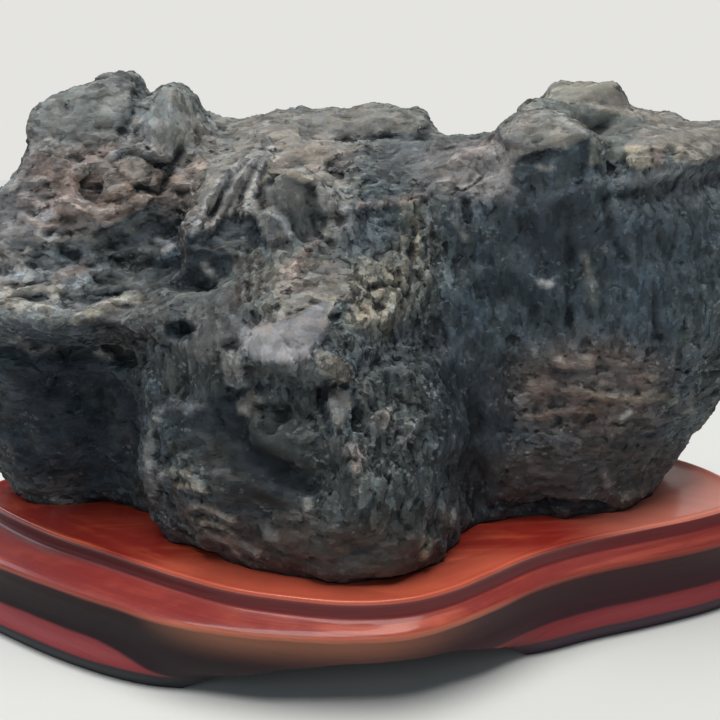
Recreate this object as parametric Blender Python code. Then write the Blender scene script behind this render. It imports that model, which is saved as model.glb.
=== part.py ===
"""Scholars rock on a carved hardwood stand.

Two pieces: one dark weathered stone, and one block of hardwood carved as a low stepped stand with four
feet and a seat that is cut to the stone's own underside. Lengths are in millimetres until a mesh is
made, which is in metres. +X is the right-hand end, -Y the front and +Z up, and the origin is on the
table under the middle of the object.
"""

import bmesh
import bpy
import numpy as np
from mathutils import Matrix, Vector, noise

MM = 0.001

# Stone: its flat seat, the size of its grain in the solid, and how rough it is.
SEAT_Z = 34.0
STONE_VOXEL = 3.0
STONE_SMOOTHINGS = 3
STONE_TRIANGLES = 6000
CRAG_HEIGHTS = ((46.0, 4.0), (22.0, 3.0), (12.0, 1.2))   # wavelength and height of each size of lump
CRAG_BEND_LENGTH = 60.0    # the lumps are bent by a slower noise of this wavelength and reach
CRAG_BEND = 14.0
CRAG_MIDDLE = 0.5          # share of a lump's height at which its ridges stand above the plain form
CRAG_SLOPE = 2.4           # how fast they fall away from there
NOISE_STEP = 10.0          # shift, in wavelengths, between one layer of noise and the next
ROUNDED_TO = 3             # decimal places that the stone's points keep before it is thinned out
FACING_GAIN = 1.6          # how fast a fold fades as the surface turns away from its side

# The stone as a contour map: at each height, the front from left to right and then the back again.
STONE_CONTOURS = (
    (34, (
        (-170, 16), (-156, 4), (-140, 2), (-124, 6), (-108, 0), (-94, -20), (-84, -38), (-70, -50),
        (-50, -64), (-30, -75), (-10, -84), (10, -86), (28, -74), (40, -54), (52, -38), (68, -32),
        (92, -31), (116, -28), (132, -14), (146, 8), (152, 28), (140, 46), (104, 56), (60, 60),
        (14, 60), (-34, 59), (-80, 57), (-120, 50), (-150, 40), (-168, 28),
    )),
    (50, (
        (-178, 16), (-162, 0), (-144, -5), (-126, -1), (-110, -8), (-96, -28), (-84, -48), (-68, -64),
        (-50, -76), (-30, -86), (-8, -96), (12, -96), (28, -84), (40, -64), (50, -46), (66, -40),
        (92, -41), (116, -37), (134, -24), (149, -2), (160, 24), (150, 46), (110, 62), (62, 68),
        (14, 68), (-36, 66), (-84, 64), (-126, 58), (-156, 48), (-176, 34),
    )),
    (75, (
        (-186, 16), (-170, -8), (-148, -14), (-126, -8), (-110, -8), (-98, -24), (-91, -48), (-74, -68),
        (-52, -82), (-30, -91), (-8, -97), (12, -95), (30, -82), (42, -62), (49, -46), (64, -38),
        (90, -44), (114, -45), (138, -36), (161, -15), (177, 14), (170, 44), (124, 66), (72, 76),
        (18, 78), (-38, 76), (-90, 73), (-134, 66), (-164, 56), (-184, 38),
    )),
    (100, (
        (-190, 14), (-174, -8), (-152, -15), (-132, -9), (-116, 2), (-101, -6), (-89, -36), (-78, -62),
        (-56, -77), (-34, -85), (-11, -91), (11, -88), (29, -75), (42, -56), (50, -41), (66, -34),
        (90, -44), (116, -47), (143, -40), (169, -20), (185, 12), (182, 44), (136, 67), (80, 77),
        (20, 80), (-40, 79), (-96, 76), (-140, 70), (-170, 62), (-188, 42),
    )),
    (122, (
        (-191, 10), (-176, -14), (-152, -24), (-130, -22), (-112, -14), (-98, -18), (-86, -40), (-74, -60),
        (-54, -73), (-34, -80), (-12, -83), (8, -77), (24, -63), (36, -49), (47, -36), (64, -30),
        (86, -40), (112, -46), (144, -43), (172, -24), (186, 10), (183, 42), (142, 67), (84, 77),
        (22, 80), (-40, 79), (-98, 77), (-142, 71), (-172, 64), (-189, 40),
    )),
    (138, (
        (-191, 6), (-177, -20), (-152, -33), (-126, -38), (-104, -38), (-86, -38), (-76, -46), (-64, -60),
        (-50, -68), (-34, -72), (-14, -70), (2, -64), (16, -52), (30, -40), (44, -30), (60, -25),
        (82, -37), (110, -44), (144, -42), (172, -24), (186, 8), (183, 42), (142, 67), (84, 77),
        (22, 80), (-40, 79), (-98, 77), (-142, 71), (-172, 64), (-189, 38),
    )),
    (160, (
        (-188, 8), (-173, -14), (-152, -19), (-130, -18), (-110, -13), (-92, -9), (-78, -20), (-64, -36),
        (-48, -42), (-30, -44), (-12, -40), (4, -33), (18, -28), (32, -25), (46, -23), (62, -26),
        (84, -37), (110, -41), (143, -37), (169, -20), (184, 10), (182, 42), (140, 65), (84, 76),
        (22, 79), (-40, 78), (-96, 75), (-140, 68), (-168, 60), (-186, 38),
    )),
    (178, (
        (-180, 8), (-166, -12), (-148, -20), (-126, -24), (-106, -21), (-90, -14), (-76, -10), (-62, -20),
        (-46, -24), (-28, -26), (-10, -24), (6, -20), (20, -18), (34, -18), (48, -20), (64, -26),
        (86, -35), (110, -38), (140, -33), (164, -16), (182, 10), (180, 40), (136, 63), (82, 75),
        (22, 78), (-40, 77), (-92, 73), (-132, 65), (-158, 54), (-176, 36),
    )),
    (194, (
        (-156, 10), (-150, -10), (-136, -16), (-118, -15), (-102, -10), (-88, -4), (-74, -2), (-60, -8),
        (-44, -4), (-28, -2), (-10, 0), (6, -2), (20, -4), (36, -8), (52, -16), (68, -26),
        (88, -31), (110, -30), (136, -25), (160, -13), (181, 12), (178, 38), (134, 58), (82, 72),
        (22, 76), (-40, 74), (-90, 70), (-124, 60), (-144, 48), (-154, 32),
    )),
    (206, (
        (-146, 14), (-140, 0), (-128, -4), (-114, -4), (-100, -2), (-86, 1), (-72, 6), (-58, 12),
        (-44, 10), (-28, 8), (-12, 10), (4, 12), (20, 12), (36, 5), (52, -7), (68, -19),
        (86, -24), (106, -18), (130, -2), (154, 2), (179, 14), (175, 36), (130, 52), (80, 64),
        (22, 68), (-40, 68), (-88, 64), (-120, 54), (-136, 44), (-145, 30),
    )),
)

# The crags that stand on the top contour, each a smaller map of its own.
STONE_CRAGS = (
    (
        (200, ((-145, 14), (-138, 0), (-118, -3), (-100, 0), (-88, 10), (-88, 50), (-116, 58), (-138, 44))),
        (223, ((-143, 16), (-136, 4), (-116, 2), (-98, 4), (-92, 14), (-92, 44), (-116, 52), (-138, 40))),
        (233, ((-130, 18), (-125, 10), (-112, 6), (-100, 8), (-94, 16), (-94, 40), (-112, 46), (-127, 36))),
        (240, ((-113, 16), (-109, 11), (-103, 10), (-97, 12), (-95, 18), (-96, 34), (-103, 38), (-111, 32))),
    ),
    (
        (200, ((-94, 4), (-80, -1), (-66, 6), (-54, 16), (-56, 44), (-72, 54), (-88, 52), (-96, 30))),
        (220, ((-90, 6), (-78, 2), (-69, 7), (-63, 18), (-64, 42), (-74, 50), (-86, 48), (-93, 28))),
        (233, ((-85, 14), (-79, 9), (-73, 12), (-70, 20), (-71, 34), (-76, 40), (-82, 38), (-87, 26))),
    ),
    (
        (200, ((-76, 14), (-40, 12), (0, 12), (30, 15), (46, 24), (46, 56), (0, 64), (-70, 54))),
        (213, ((-74, 20), (-42, 20), (0, 20), (26, 22), (41, 29), (41, 55), (0, 61), (-68, 50))),
        (218, ((-70, 28), (-42, 27), (0, 26), (22, 28), (36, 34), (36, 52), (0, 57), (-64, 46))),
    ),
    (
        (208, ((-42, 30), (-28, 25), (0, 24), (26, 26), (42, 31), (42, 54), (0, 60), (-40, 52))),
        (222, ((-34, 34), (-24, 30), (0, 29), (22, 30), (37, 34), (37, 50), (0, 54), (-32, 47))),
    ),
    (
        (198, ((60, 2), (84, -7), (110, -7), (136, -6), (154, 6), (152, 38), (108, 52), (68, 44))),
        (212, ((74, 8), (88, 2), (106, 2), (130, 4), (150, 12), (148, 38), (106, 46), (78, 38))),
        (222, ((82, 14), (92, 8), (106, 8), (124, 10), (138, 16), (135, 34), (106, 42), (86, 34))),
    ),
    (
        (216, ((92, 16), (104, 11), (120, 11), (136, 17), (133, 37), (112, 43), (98, 40), (91, 28))),
        (229, ((95, 17), (105, 13), (120, 13), (130, 17), (128, 36), (112, 41), (101, 38), (94, 28))),
    ),
    (
        (198, ((58, -12), (70, -26), (90, -31), (105, -28), (108, -14), (108, 8), (84, 14), (60, 8))),
        (209, ((62, -8), (72, -21), (88, -26), (103, -24), (106, -12), (105, 6), (84, 11), (65, 5))),
        (217, ((69, -4), (77, -14), (87, -19), (96, -17), (98, -10), (98, 4), (84, 9), (72, 4))),
    ),
    (
        (192, ((115, -20), (136, -22), (162, -14), (181, 4), (179, 28), (154, 40), (126, 38), (116, 16))),
        (202, ((117, -16), (136, -18), (160, -11), (179, 6), (176, 28), (152, 36), (130, 34), (118, 12))),
        (209, ((120, -2), (138, -2), (158, 4), (177, 12), (173, 28), (150, 34), (130, 32), (121, 14))),
    ),
    (
        (204, ((112, 8), (132, 4), (154, 7), (180, 13), (177, 31), (152, 37), (130, 38), (114, 30))),
        (215, ((114, 14), (132, 11), (152, 14), (178, 18), (175, 28), (152, 33), (130, 34), (116, 28))),
    ),
)

# Centre and radii of the round knob that sits in the middle of the front.
KNOB_CENTRE = (-22.0, -21.0, 183.0)
KNOB_RADII = (14.5, 12.5, 15.0)

# Ridges and hollows, as seen from the front: a path of (x, z), its half width, and how far it stands
# out, or goes in where that is below nought.
FRONT_FOLDS = {
    "fanned ridge": (((-27, 209), (-46, 201), (-58, 190), (-67, 171)), 11, 8),
    "streak beside it": (((-24, 205), (-36, 196), (-46, 184), (-52, 176)), 7, 3),
    "lowest of the left folds": (((-156, 171), (-134, 170), (-114, 168)), 8, 2),
    "hollow under the left folds": (((-106, 170), (-92, 177), (-76, 172)), 10, -10),
    "hollow beside the knob": (((-56, 179), (-47, 172), (-40, 164)), 9, -9),
    "cleft": (((-86, 154), (-70, 155), (-52, 157)), 9, -9),
    "lip of the bright facet": (((-46, 127), (-27, 125), (-6, 126)), 8, 5),
    "shade under the facet": (((-44, 114), (-24, 114), (-6, 116)), 10, -9),
    "small block": (((-62, 128), (-60, 112), (-56, 104)), 9, 5),
    "hollow in the cheek": (((-52, 100), (-40, 90), (-22, 86)), 12, -8),
    "heel of the cheek": (((-82, 76), (-66, 78), (-50, 82)), 9, 5),
    "lip of the left shelf": (((-152, 141), (-120, 138), (-93, 134), (-74, 139)), 9, 7),
    "shade under the shelf": (((-154, 124), (-124, 120), (-98, 116)), 11, -9),
    "left fold": (((-124, 181), (-107, 184), (-86, 190)), 8, 6),
    "brow": (((44, 196), (60, 204), (74, 208), (88, 209), (100, 207)), 8, 3),
    "gap beside the brow": (((112, 208), (112, 198), (110, 188)), 7, -7),
    "right block": (((119, 196), (136, 196), (164, 197)), 7, 5),
    "shade under the block": (((108, 182), (124, 180), (150, 181), (168, 184)), 9, -4),
    "valley": (((34, 132), (40, 112), (46, 96), (49, 74), (52, 52)), 12, -9),
    "upright rib": (((-2, 122), (-4, 104), (0, 84), (4, 60)), 9, 4),
}
BACK_FOLDS = {
    "long slanting shelf": (((-168, 118), (-120, 132), (-70, 138), (-24, 152)), 13, 6),
    "shade under the slanting shelf": (((-160, 98), (-118, 110), (-66, 116), (-20, 128)), 12, -9),
    "cleft under the plateau": (((-52, 200), (-44, 178), (-30, 160)), 11, -11),
    "right buttress": (((96, 196), (104, 160), (112, 120), (108, 74)), 16, 9),
    "gully beside the buttress": (((66, 200), (72, 160), (66, 118), (56, 76)), 13, -11),
    "pit": (((20, 104), (8, 92)), 15, -10),
    "heel ridge": (((-120, 66), (-70, 76), (-16, 62)), 11, 6),
    "head ridge": (((-132, 214), (-112, 186), (-104, 158)), 12, 7),
}

# Stand: the hollow underneath, how much wood is left round it, and the gap between the stone and its seat.
STAND_HOLLOW_Z = 20.0
STAND_RIM = 27.0
SEAT_GAP = 0.4
SWELL_ROUNDS = 12          # passes that it takes a corner of the seat to clear all of its faces
SWELL_LIMIT = 1.6
OUTLINE_STEPS = 3          # points between two of an outline's own points

# The three outlines of the stand, from the left end along the front to the right end and back again.
LIP = (
    (-189, 22), (-182, 5), (-167, -12), (-139, -36), (-111, -55), (-90, -69.5), (-71, -82), (-50, -94),
    (-28, -102), (-4, -107.5), (18, -106.5), (36, -99), (52, -87.5), (70, -74), (93, -62), (122, -51.5),
    (151, -41), (172, -29), (181, -10), (174, 18), (154, 42), (120, 63), (80, 76), (36, 82),
    (-10, 83), (-56, 80), (-100, 71), (-142, 57), (-175, 40),
)
LEDGE = (
    (-200, 18), (-192, -10), (-176, -33), (-150, -53), (-122, -71.5), (-98, -86), (-77, -98.5),
    (-53, -107.5), (-30, -113), (-5, -116), (18, -114.5), (37, -106), (54, -95), (73, -81), (97, -69),
    (127, -59), (157, -48), (179, -34), (189, -10), (182, 22), (161, 49), (125, 71), (83, 84), (37, 90),
    (-10, 91), (-57, 88), (-103, 80), (-147, 66), (-184, 46),
)
FOOT = (
    (-204, 18), (-196, -14), (-180, -38), (-153, -59), (-124, -78), (-98, -91.5), (-77, -98), (-54, -99),
    (-32, -97), (-6, -94), (18, -91), (38, -88), (56, -85), (75, -81.5), (98, -73), (128, -63.5),
    (158, -52), (181, -37), (192, -10), (185, 23), (163, 51), (127, 73), (84, 84), (37, 84),
    (-10, 84), (-58, 84), (-104, 82), (-149, 69), (-188, 48),
)

# The moulding, from the top edge down: which outline, how far outside it, and the height.
MOULDING = (
    (LIP, -5.0, 41.0), (LIP, -2.0, 42.0), (LIP, -0.5, 42.2), (LIP, 0.0, 41.0), (LIP, 0.6, 35.6),
    (LIP, 2.2, 34.6), (LEDGE, -1.6, 33.0), (LEDGE, 0.0, 31.2), (LEDGE, -1.4, 29.2), (LEDGE, -3.8, 21.0),
    (LEDGE, -1.2, 12.2), (FOOT, 0.0, 7.0), (FOOT, -3.5, 0.0),
)

# Each arch between two feet: its outline in (along, up), the way it is cut, and where the cut runs.
FRONT_ARCH = (
    (-73, -1), (-67, 2.5), (-58, 7.5), (-46, 12.5), (-30, 16.5), (-8, 19.5), (16, 20), (36, 18), (50, 13.5),
    (58, 8.5), (64, 3.5), (69, -1),
)
BACK_ARCH = ((-74, -1), (-66, 6), (-52, 12), (-30, 17), (-6, 19.5), (18, 18), (42, 13), (56, 6), (64, -1))
LEFT_ARCH = ((-22, -1), (-18, 7), (-6, 12), (12, 14), (30, 12), (42, 7), (46, -1))
RIGHT_ARCH = ((-42, -1), (-40, 7), (-28, 12), (-10, 14), (8, 12), (20, 7), (24, -1))


def new_object(name, mesh):
    made = bpy.data.objects.new(name, mesh)
    bpy.context.scene.collection.objects.link(made)
    return made


def loft(shape, contours):
    """Adds a closed form to the bmesh through rings of (x, y, z) that all have as many points."""
    rings = [[shape.verts.new(Vector(point) * MM) for point in ring] for ring in contours]
    count = len(rings[0])
    for lower, upper in zip(rings, rings[1:]):
        for i in range(count):
            j = (i + 1) % count
            shape.faces.new((lower[i], lower[j], upper[j], upper[i]))
    shape.faces.new(list(reversed(rings[0])))
    shape.faces.new(rings[-1])


def mesh_of(name, shape):
    bmesh.ops.recalc_face_normals(shape, faces=shape.faces)
    mesh = bpy.data.meshes.new(name)
    shape.to_mesh(mesh)
    shape.free()
    return mesh


def modify(made, kind, **settings):
    modifier = made.modifiers.new(kind.title(), kind)
    for name, value in settings.items():
        setattr(modifier, name, value)
    return modifier


def apply_modifiers(made):
    """Replaces the object's mesh with what its modifiers make of it."""
    graph = bpy.context.evaluated_depsgraph_get()
    mesh = bpy.data.meshes.new_from_object(made.evaluated_get(graph))
    made.modifiers.clear()
    made.data = mesh


def distance_to_path(x, z, path):
    """Shortest distance in the front view from each point to a path of straight runs."""
    nearest = np.full(len(x), 1e9)
    for (x0, z0), (x1, z1) in zip(path, path[1:]):
        run = np.array((x1 - x0, z1 - z0), float)
        share = ((x - x0) * run[0] + (z - z0) * run[1]) / (run @ run)
        share = np.clip(share, 0, 1)
        nearest = np.minimum(nearest, np.hypot(x - x0 - share * run[0], z - z0 - share * run[1]))
    return nearest


def fold(made):
    """Presses the named ridges and hollows into the two long sides of the stone."""
    mesh = made.data
    facing = [(-1, one) for one in FRONT_FOLDS.values()] + [(1, one) for one in BACK_FOLDS.values()]
    for side, (path, reach, rise) in facing:
        points = np.array([v.co for v in mesh.vertices]) / MM
        normals = np.array([v.normal for v in mesh.vertices])
        near = np.clip(1 - distance_to_path(points[:, 0], points[:, 2], path) / reach, 0, 1)
        weight = near * near * (3 - 2 * near) * np.clip(FACING_GAIN * side * normals[:, 1], 0, 1)
        points[:, 1] += side * rise * weight
        mesh.vertices.foreach_set("co", (points * MM).ravel())
        mesh.update()


def layer_of_noise(place, layer):
    """Smooth noise between about -1 and 1, another one for each layer."""
    return noise.noise(place + Vector((0, 0, NOISE_STEP * layer)))


def roughen(made):
    """Gives the stone its lumps: each point moves along its normal by layers of ridged noise."""
    points = []
    for vertex in made.data.vertices:
        place = vertex.co / MM
        bend = Vector(layer_of_noise(place / CRAG_BEND_LENGTH, -1 - axis) for axis in range(3))
        bent = place + bend * CRAG_BEND
        height = 0
        for layer, (length, rise) in enumerate(CRAG_HEIGHTS):
            height += rise * (CRAG_MIDDLE - CRAG_SLOPE * abs(layer_of_noise(bent / length, layer)))
        moved = place + vertex.normal * height
        points.append((moved.x, moved.y, max(moved.z, SEAT_Z)))
    made.data.vertices.foreach_set("co", (np.round(points, ROUNDED_TO) * MM).ravel())
    made.data.update()


def stone():
    shape = bmesh.new()
    for contours in (STONE_CONTOURS, *STONE_CRAGS):
        loft(shape, [[(x, y, z) for x, y in outline] for z, outline in contours])
    ball = bmesh.ops.create_icosphere(shape, subdivisions=3, radius=MM)
    bmesh.ops.scale(shape, vec=KNOB_RADII, verts=ball["verts"])
    bmesh.ops.translate(shape, vec=Vector(KNOB_CENTRE) * MM, verts=ball["verts"])
    made = new_object("scholars_rock", mesh_of("scholars_rock", shape))
    modify(made, "REMESH", mode="VOXEL", voxel_size=STONE_VOXEL * MM)
    modify(made, "SMOOTH", iterations=STONE_SMOOTHINGS, factor=0.5)
    apply_modifiers(made)
    fold(made)
    roughen(made)
    faces = 2 * len(made.data.polygons)
    modify(made, "TRIANGULATE")
    modify(made, "DECIMATE", ratio=STONE_TRIANGLES / faces)
    apply_modifiers(made)
    return made


def smooth_outline(points):
    """A closed smooth curve through the points."""
    count = len(points)
    found = []
    for i in range(count):
        before, start, end, after = (Vector(points[(i + k) % count]) for k in (-1, 0, 1, 2))
        for step in range(OUTLINE_STEPS):
            t = step / OUTLINE_STEPS
            found.append(
                0.5 * (2 * start + (end - before) * t + (2 * before - 5 * start + 4 * end - after) * t**2
                + (3 * start - before - 3 * end + after) * t**3)
            )
    return found


def moved_out(outline, distance):
    """The outline with each point moved this far outwards."""
    count = len(outline)
    found = []
    for i, point in enumerate(outline):
        along = outline[(i + 1) % count] - outline[i - 1]
        found.append(point + Vector((along.y, -along.x)).normalized() * distance)
    return found


def cutter(name, rings):
    shape = bmesh.new()
    loft(shape, rings)
    made = new_object(name, mesh_of(name, shape))
    made.hide_render = True
    made.display_type = "WIRE"
    return made


def arch_cutter(name, outline, start, end, crosswise):
    """A prism with the arch's outline, along Y, or along X where it is crosswise."""
    rings = []
    for depth in (start, end):
        rings.append([(depth, a, z) if crosswise else (a, depth, z) for a, z in outline])
    return cutter(name, rings)


def seat_cutter(resting):
    """A copy of the stone, swollen until each face lies the seat's gap outside the stone's own."""
    shape = bmesh.new()
    shape.from_mesh(resting.data)
    shape.normal_update()
    moves = []
    for vertex in shape.verts:
        move = vertex.normal * SEAT_GAP
        for _ in range(SWELL_ROUNDS):
            for face in vertex.link_faces:
                move += face.normal * max(SEAT_GAP - move.dot(face.normal), 0)
        moves.append(move.normalized() * min(move.length, SWELL_LIMIT))
    for vertex, move in zip(shape.verts, moves):
        vertex.co += move * MM
    made = new_object("seat_cutter", mesh_of("seat_cutter", shape))
    made.hide_render = True
    made.display_type = "WIRE"
    return made


def stand(resting):
    rings = []
    for outline, out, z in reversed(MOULDING):
        rings.append([(p.x, p.y, z) for p in moved_out(smooth_outline(outline), out)])
    shape = bmesh.new()
    loft(shape, rings)
    made = new_object("carved_stand", mesh_of("carved_stand", shape))
    inner = moved_out(smooth_outline(FOOT), -STAND_RIM)
    seat = seat_cutter(resting)
    cutters = (
        cutter("hollow_cutter", [[(p.x, p.y, z) for p in inner] for z in (-5, STAND_HOLLOW_Z)]),
        arch_cutter("front_arch_cutter", FRONT_ARCH, -140, -40, False),
        arch_cutter("back_arch_cutter", BACK_ARCH, 40, 120, False),
        arch_cutter("left_arch_cutter", LEFT_ARCH, -230, -150, True),
        arch_cutter("right_arch_cutter", RIGHT_ARCH, 140, 220, True),
        seat,
    )
    for other in cutters:
        modify(made, "BOOLEAN", operation="DIFFERENCE", solver="EXACT", object=other)
    return made


def centre(parts):
    """Moves the parts together until the origin is under the middle of the box that holds them."""
    bpy.context.view_layer.update()
    graph = bpy.context.evaluated_depsgraph_get()
    corners = [Vector(c) for made in parts for c in made.evaluated_get(graph).bound_box]
    low = Vector(min(c[i] for c in corners) for i in range(3))
    high = Vector(max(c[i] for c in corners) for i in range(3))
    middle = (low + high) / 2
    for made in parts:
        apply_modifiers(made)
    for made in parts:
        made.data.transform(Matrix.Translation((-middle.x, -middle.y, -low.z)))


def finish(made, colour, roughness):
    material = bpy.data.materials.new(made.name)
    material.use_nodes = True
    shader = material.node_tree.nodes["Principled BSDF"]
    shader.inputs["Base Color"].default_value = (*colour, 1)
    shader.inputs["Roughness"].default_value = roughness
    made.data.materials.clear()
    made.data.materials.append(material)


def main():
    for old in list(bpy.data.objects):
        bpy.data.objects.remove(old)
    rock = stone()
    base = stand(rock)
    centre((rock, base))
    finish(rock, (0.06, 0.06, 0.06), 0.7)
    finish(base, (0.35, 0.05, 0.02), 0.3)


main()
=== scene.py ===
"""Looks of a scholars rock on its carved hardwood stand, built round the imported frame.

The rock starts from its own solid and is worked finer: ridges and hollows are pressed into the side that
the photograph shows, then fibres, crags and chips all round. The stand is carved again with smooth
mouldings and a seat that is cut to the finished rock. Lengths are in millimetres until a mesh is made.
Places on the photographed side are given in the pixels of the photograph, whose frame is 720 x 720.
"""

import itertools
import logging
import math
from dataclasses import dataclass
from enum import Enum
from typing import Any, Iterable, Sequence

import bmesh
import bpy
import numpy as np
from mathutils import Matrix, Vector


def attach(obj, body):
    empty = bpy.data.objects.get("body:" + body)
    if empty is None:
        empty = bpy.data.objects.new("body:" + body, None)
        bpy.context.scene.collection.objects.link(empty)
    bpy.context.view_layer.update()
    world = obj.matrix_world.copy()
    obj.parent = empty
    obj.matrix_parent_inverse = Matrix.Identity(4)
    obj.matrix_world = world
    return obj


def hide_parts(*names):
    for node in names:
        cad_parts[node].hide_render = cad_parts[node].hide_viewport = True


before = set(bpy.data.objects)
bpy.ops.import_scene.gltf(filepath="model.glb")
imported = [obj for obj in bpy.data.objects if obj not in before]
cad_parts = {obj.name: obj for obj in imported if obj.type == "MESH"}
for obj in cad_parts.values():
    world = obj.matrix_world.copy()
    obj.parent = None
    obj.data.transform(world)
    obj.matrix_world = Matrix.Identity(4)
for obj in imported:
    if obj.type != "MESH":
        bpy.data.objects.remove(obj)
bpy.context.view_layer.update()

MM = 0.001
Pixel = tuple[float, float]
Span = tuple[float, float]
Place = tuple[float, float, float]
Scale = tuple[float, float, float]
Colour = tuple[float, float, float]
Layer = tuple[int, float, float]
log = logging.getLogger("scholars_rock")


@dataclass(frozen=True)
class Viewpoint:
    """Where the photograph was taken from, and its lens."""

    place: Place = (8.5, -397.5, 210.0)
    pitch_deg: float = 14.0
    roll_deg: float = -1.8
    lens_mm: float = 45.0
    sensor_mm: float = 36.0
    frame_px: float = 720.0

    def axes(self) -> np.ndarray:
        """Works out the directions of the picture.

        Returns:
            Its right, up and forward directions, as the rows of a matrix.
        """
        pitch, roll = math.radians(self.pitch_deg), math.radians(self.roll_deg)
        right = np.array((1.0, 0.0, 0.0))
        up = np.array((0.0, math.sin(pitch), math.cos(pitch)))
        forward = np.array((0.0, math.cos(pitch), -math.sin(pitch)))
        turned = right * math.cos(roll) + up * math.sin(roll)
        upright = up * math.cos(roll) - right * math.sin(roll)
        return np.array((turned, upright, forward))

    def pixels(self, points: np.ndarray) -> np.ndarray:
        """Finds where points fall in the photograph.

        Args:
            points: Places in millimetres, one a row.

        Returns:
            Their pixels, one (x, y) a row.
        """
        seen = (points - np.array(self.place)) @ self.axes().T
        scale = self.frame_px * self.lens_mm / self.sensor_mm / seen[:, 2]
        middle = self.frame_px / 2
        return np.stack((middle + seen[:, 0] * scale, middle - seen[:, 1] * scale), axis=1)

    def pixel_size(self, points: np.ndarray) -> np.ndarray:
        """Returns how many millimetres one of the photograph's pixels spans at each point."""
        depth = (points - np.array(self.place)) @ self.axes()[2]
        return depth * self.sensor_mm / (self.frame_px * self.lens_mm)

    def facing(self, points: np.ndarray, normals: np.ndarray) -> np.ndarray:
        """Finds how squarely a surface faces the viewpoint.

        Args:
            points: Places on the surface, in millimetres, one a row.
            normals: The surface's unit normals there.

        Returns:
            From -1 to 1 for each point.
        """
        to_eye = np.array(self.place) - points
        to_eye /= np.linalg.norm(to_eye, axis=1, keepdims=True)
        return (normals * to_eye).sum(axis=1)

    def felt(self, points: np.ndarray, normals: np.ndarray, gain: float = 1.5) -> np.ndarray:
        """Finds how strongly the work on the photographed side is felt.

        Args:
            points: Places on the surface, in millimetres, one a row.
            normals: The surface's unit normals there.
            gain: How soon the work is whole as the surface turns towards the viewpoint.

        Returns:
            From 0, turned away, to 1 for each point.
        """
        return np.clip(gain * self.facing(points, normals), 0, 1)


VIEW = Viewpoint()


class Rumple:
    """Smooth gradient noise over space, the same each run."""

    SWING = 1.6

    def __init__(self, seed: int) -> None:
        """Deals out the slopes of the noise.

        Args:
            seed: Picks one noise among many.
        """
        dealt = np.random.default_rng(seed)
        self.order = np.tile(dealt.permutation(256), 2)
        slopes = dealt.normal(size=(256, 3))
        self.slopes = slopes / np.linalg.norm(slopes, axis=1, keepdims=True)
        self.spots = dealt.random((256, 3))

    def _keys(self, cells: np.ndarray) -> np.ndarray:
        """Returns one number from 0 to 255 for each cell of space."""
        x, y, z = (cells & 255).T
        return self.order[self.order[self.order[x] + y] + z]

    def at(self, places: np.ndarray) -> np.ndarray:
        """Reads the noise.

        Args:
            places: Points in wavelengths, one a row.

        Returns:
            The noise at each, between about -1 and 1.
        """
        cells = np.floor(places).astype(np.int64)
        part = places - cells
        fade = part**3 * (part * (part * 6 - 15) + 10)
        total = np.zeros(len(places))
        for corner in itertools.product((0, 1), repeat=3):
            step = np.array(corner)
            slope = self.slopes[self._keys(cells + step)]
            weight = np.prod(np.where(step, fade, 1 - fade), axis=1)
            total += weight * ((part - step) * slope).sum(axis=1)
        return total * self.SWING

    def flakes(self, places: np.ndarray) -> tuple[np.ndarray, np.ndarray]:
        """Splits space into random flakes, each with a flat face tilted its own way.

        Args:
            places: Points in flake widths, one a row.

        Returns:
            The height of each point on its flake's face, between about -1 and 1, and two tones of the
            flake's own, from -1 to 1, one a column.
        """
        cells = np.floor(places).astype(np.int64)
        nearest = np.full(len(places), 9.0)
        keys = np.zeros(len(places), np.int64)
        gaps = np.zeros(places.shape)
        for corner in itertools.product((-1, 0, 1), repeat=3):
            near = cells + np.array(corner)
            key = self._keys(near)
            gap = places - near - self.spots[key]
            far = (gap * gap).sum(axis=1)
            closer = far < nearest
            nearest[closer] = far[closer]
            keys[closer] = key[closer]
            gaps[closer] = gap[closer]
        height = (gaps * self.slopes[keys]).sum(axis=1) + self.spots[keys, 0] - 0.5
        return height, self.spots[keys, 1:] * 2 - 1


def ridged(noise: np.ndarray) -> np.ndarray:
    """Folds smooth noise into sharp crests, with a mean near nought."""
    return 0.62 - 2.2 * np.abs(noise)


def eased(share: np.ndarray) -> np.ndarray:
    """Eases a share that runs from 0 to 1 at both of its ends."""
    held = np.clip(share, 0, 1)
    return held * held * (3 - 2 * held)


def distance_to(spots: np.ndarray, path: Sequence[Pixel]) -> np.ndarray:
    """Measures how far spots on a plane lie from a path.

    Args:
        spots: The spots, one (x, y) a row.
        path: The path's points, joined by straight runs.

    Returns:
        The shortest distance of each.
    """
    nearest = np.full(len(spots), 1e9)
    ends = list(path) if len(path) > 1 else [path[0], path[0]]
    for start, end in zip(np.array(ends[:-1], float), np.array(ends[1:], float)):
        run = end - start
        along = np.clip(((spots - start) @ run) / max(run @ run, 1e-9), 0, 1)
        nearest = np.minimum(nearest, np.linalg.norm(spots - start - along[:, None] * run, axis=1))
    return nearest


class Grain(Enum):
    """The ways that the stone's fibres run, as a direction in the object's own axes."""

    LEVEL = (1.0, 0.0, 0.05)
    UPRIGHT = (0.06, 0.1, 1.0)
    RISING = (0.72, 0.0, 0.7)
    FALLING = (0.8, 0.0, -0.6)


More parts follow.
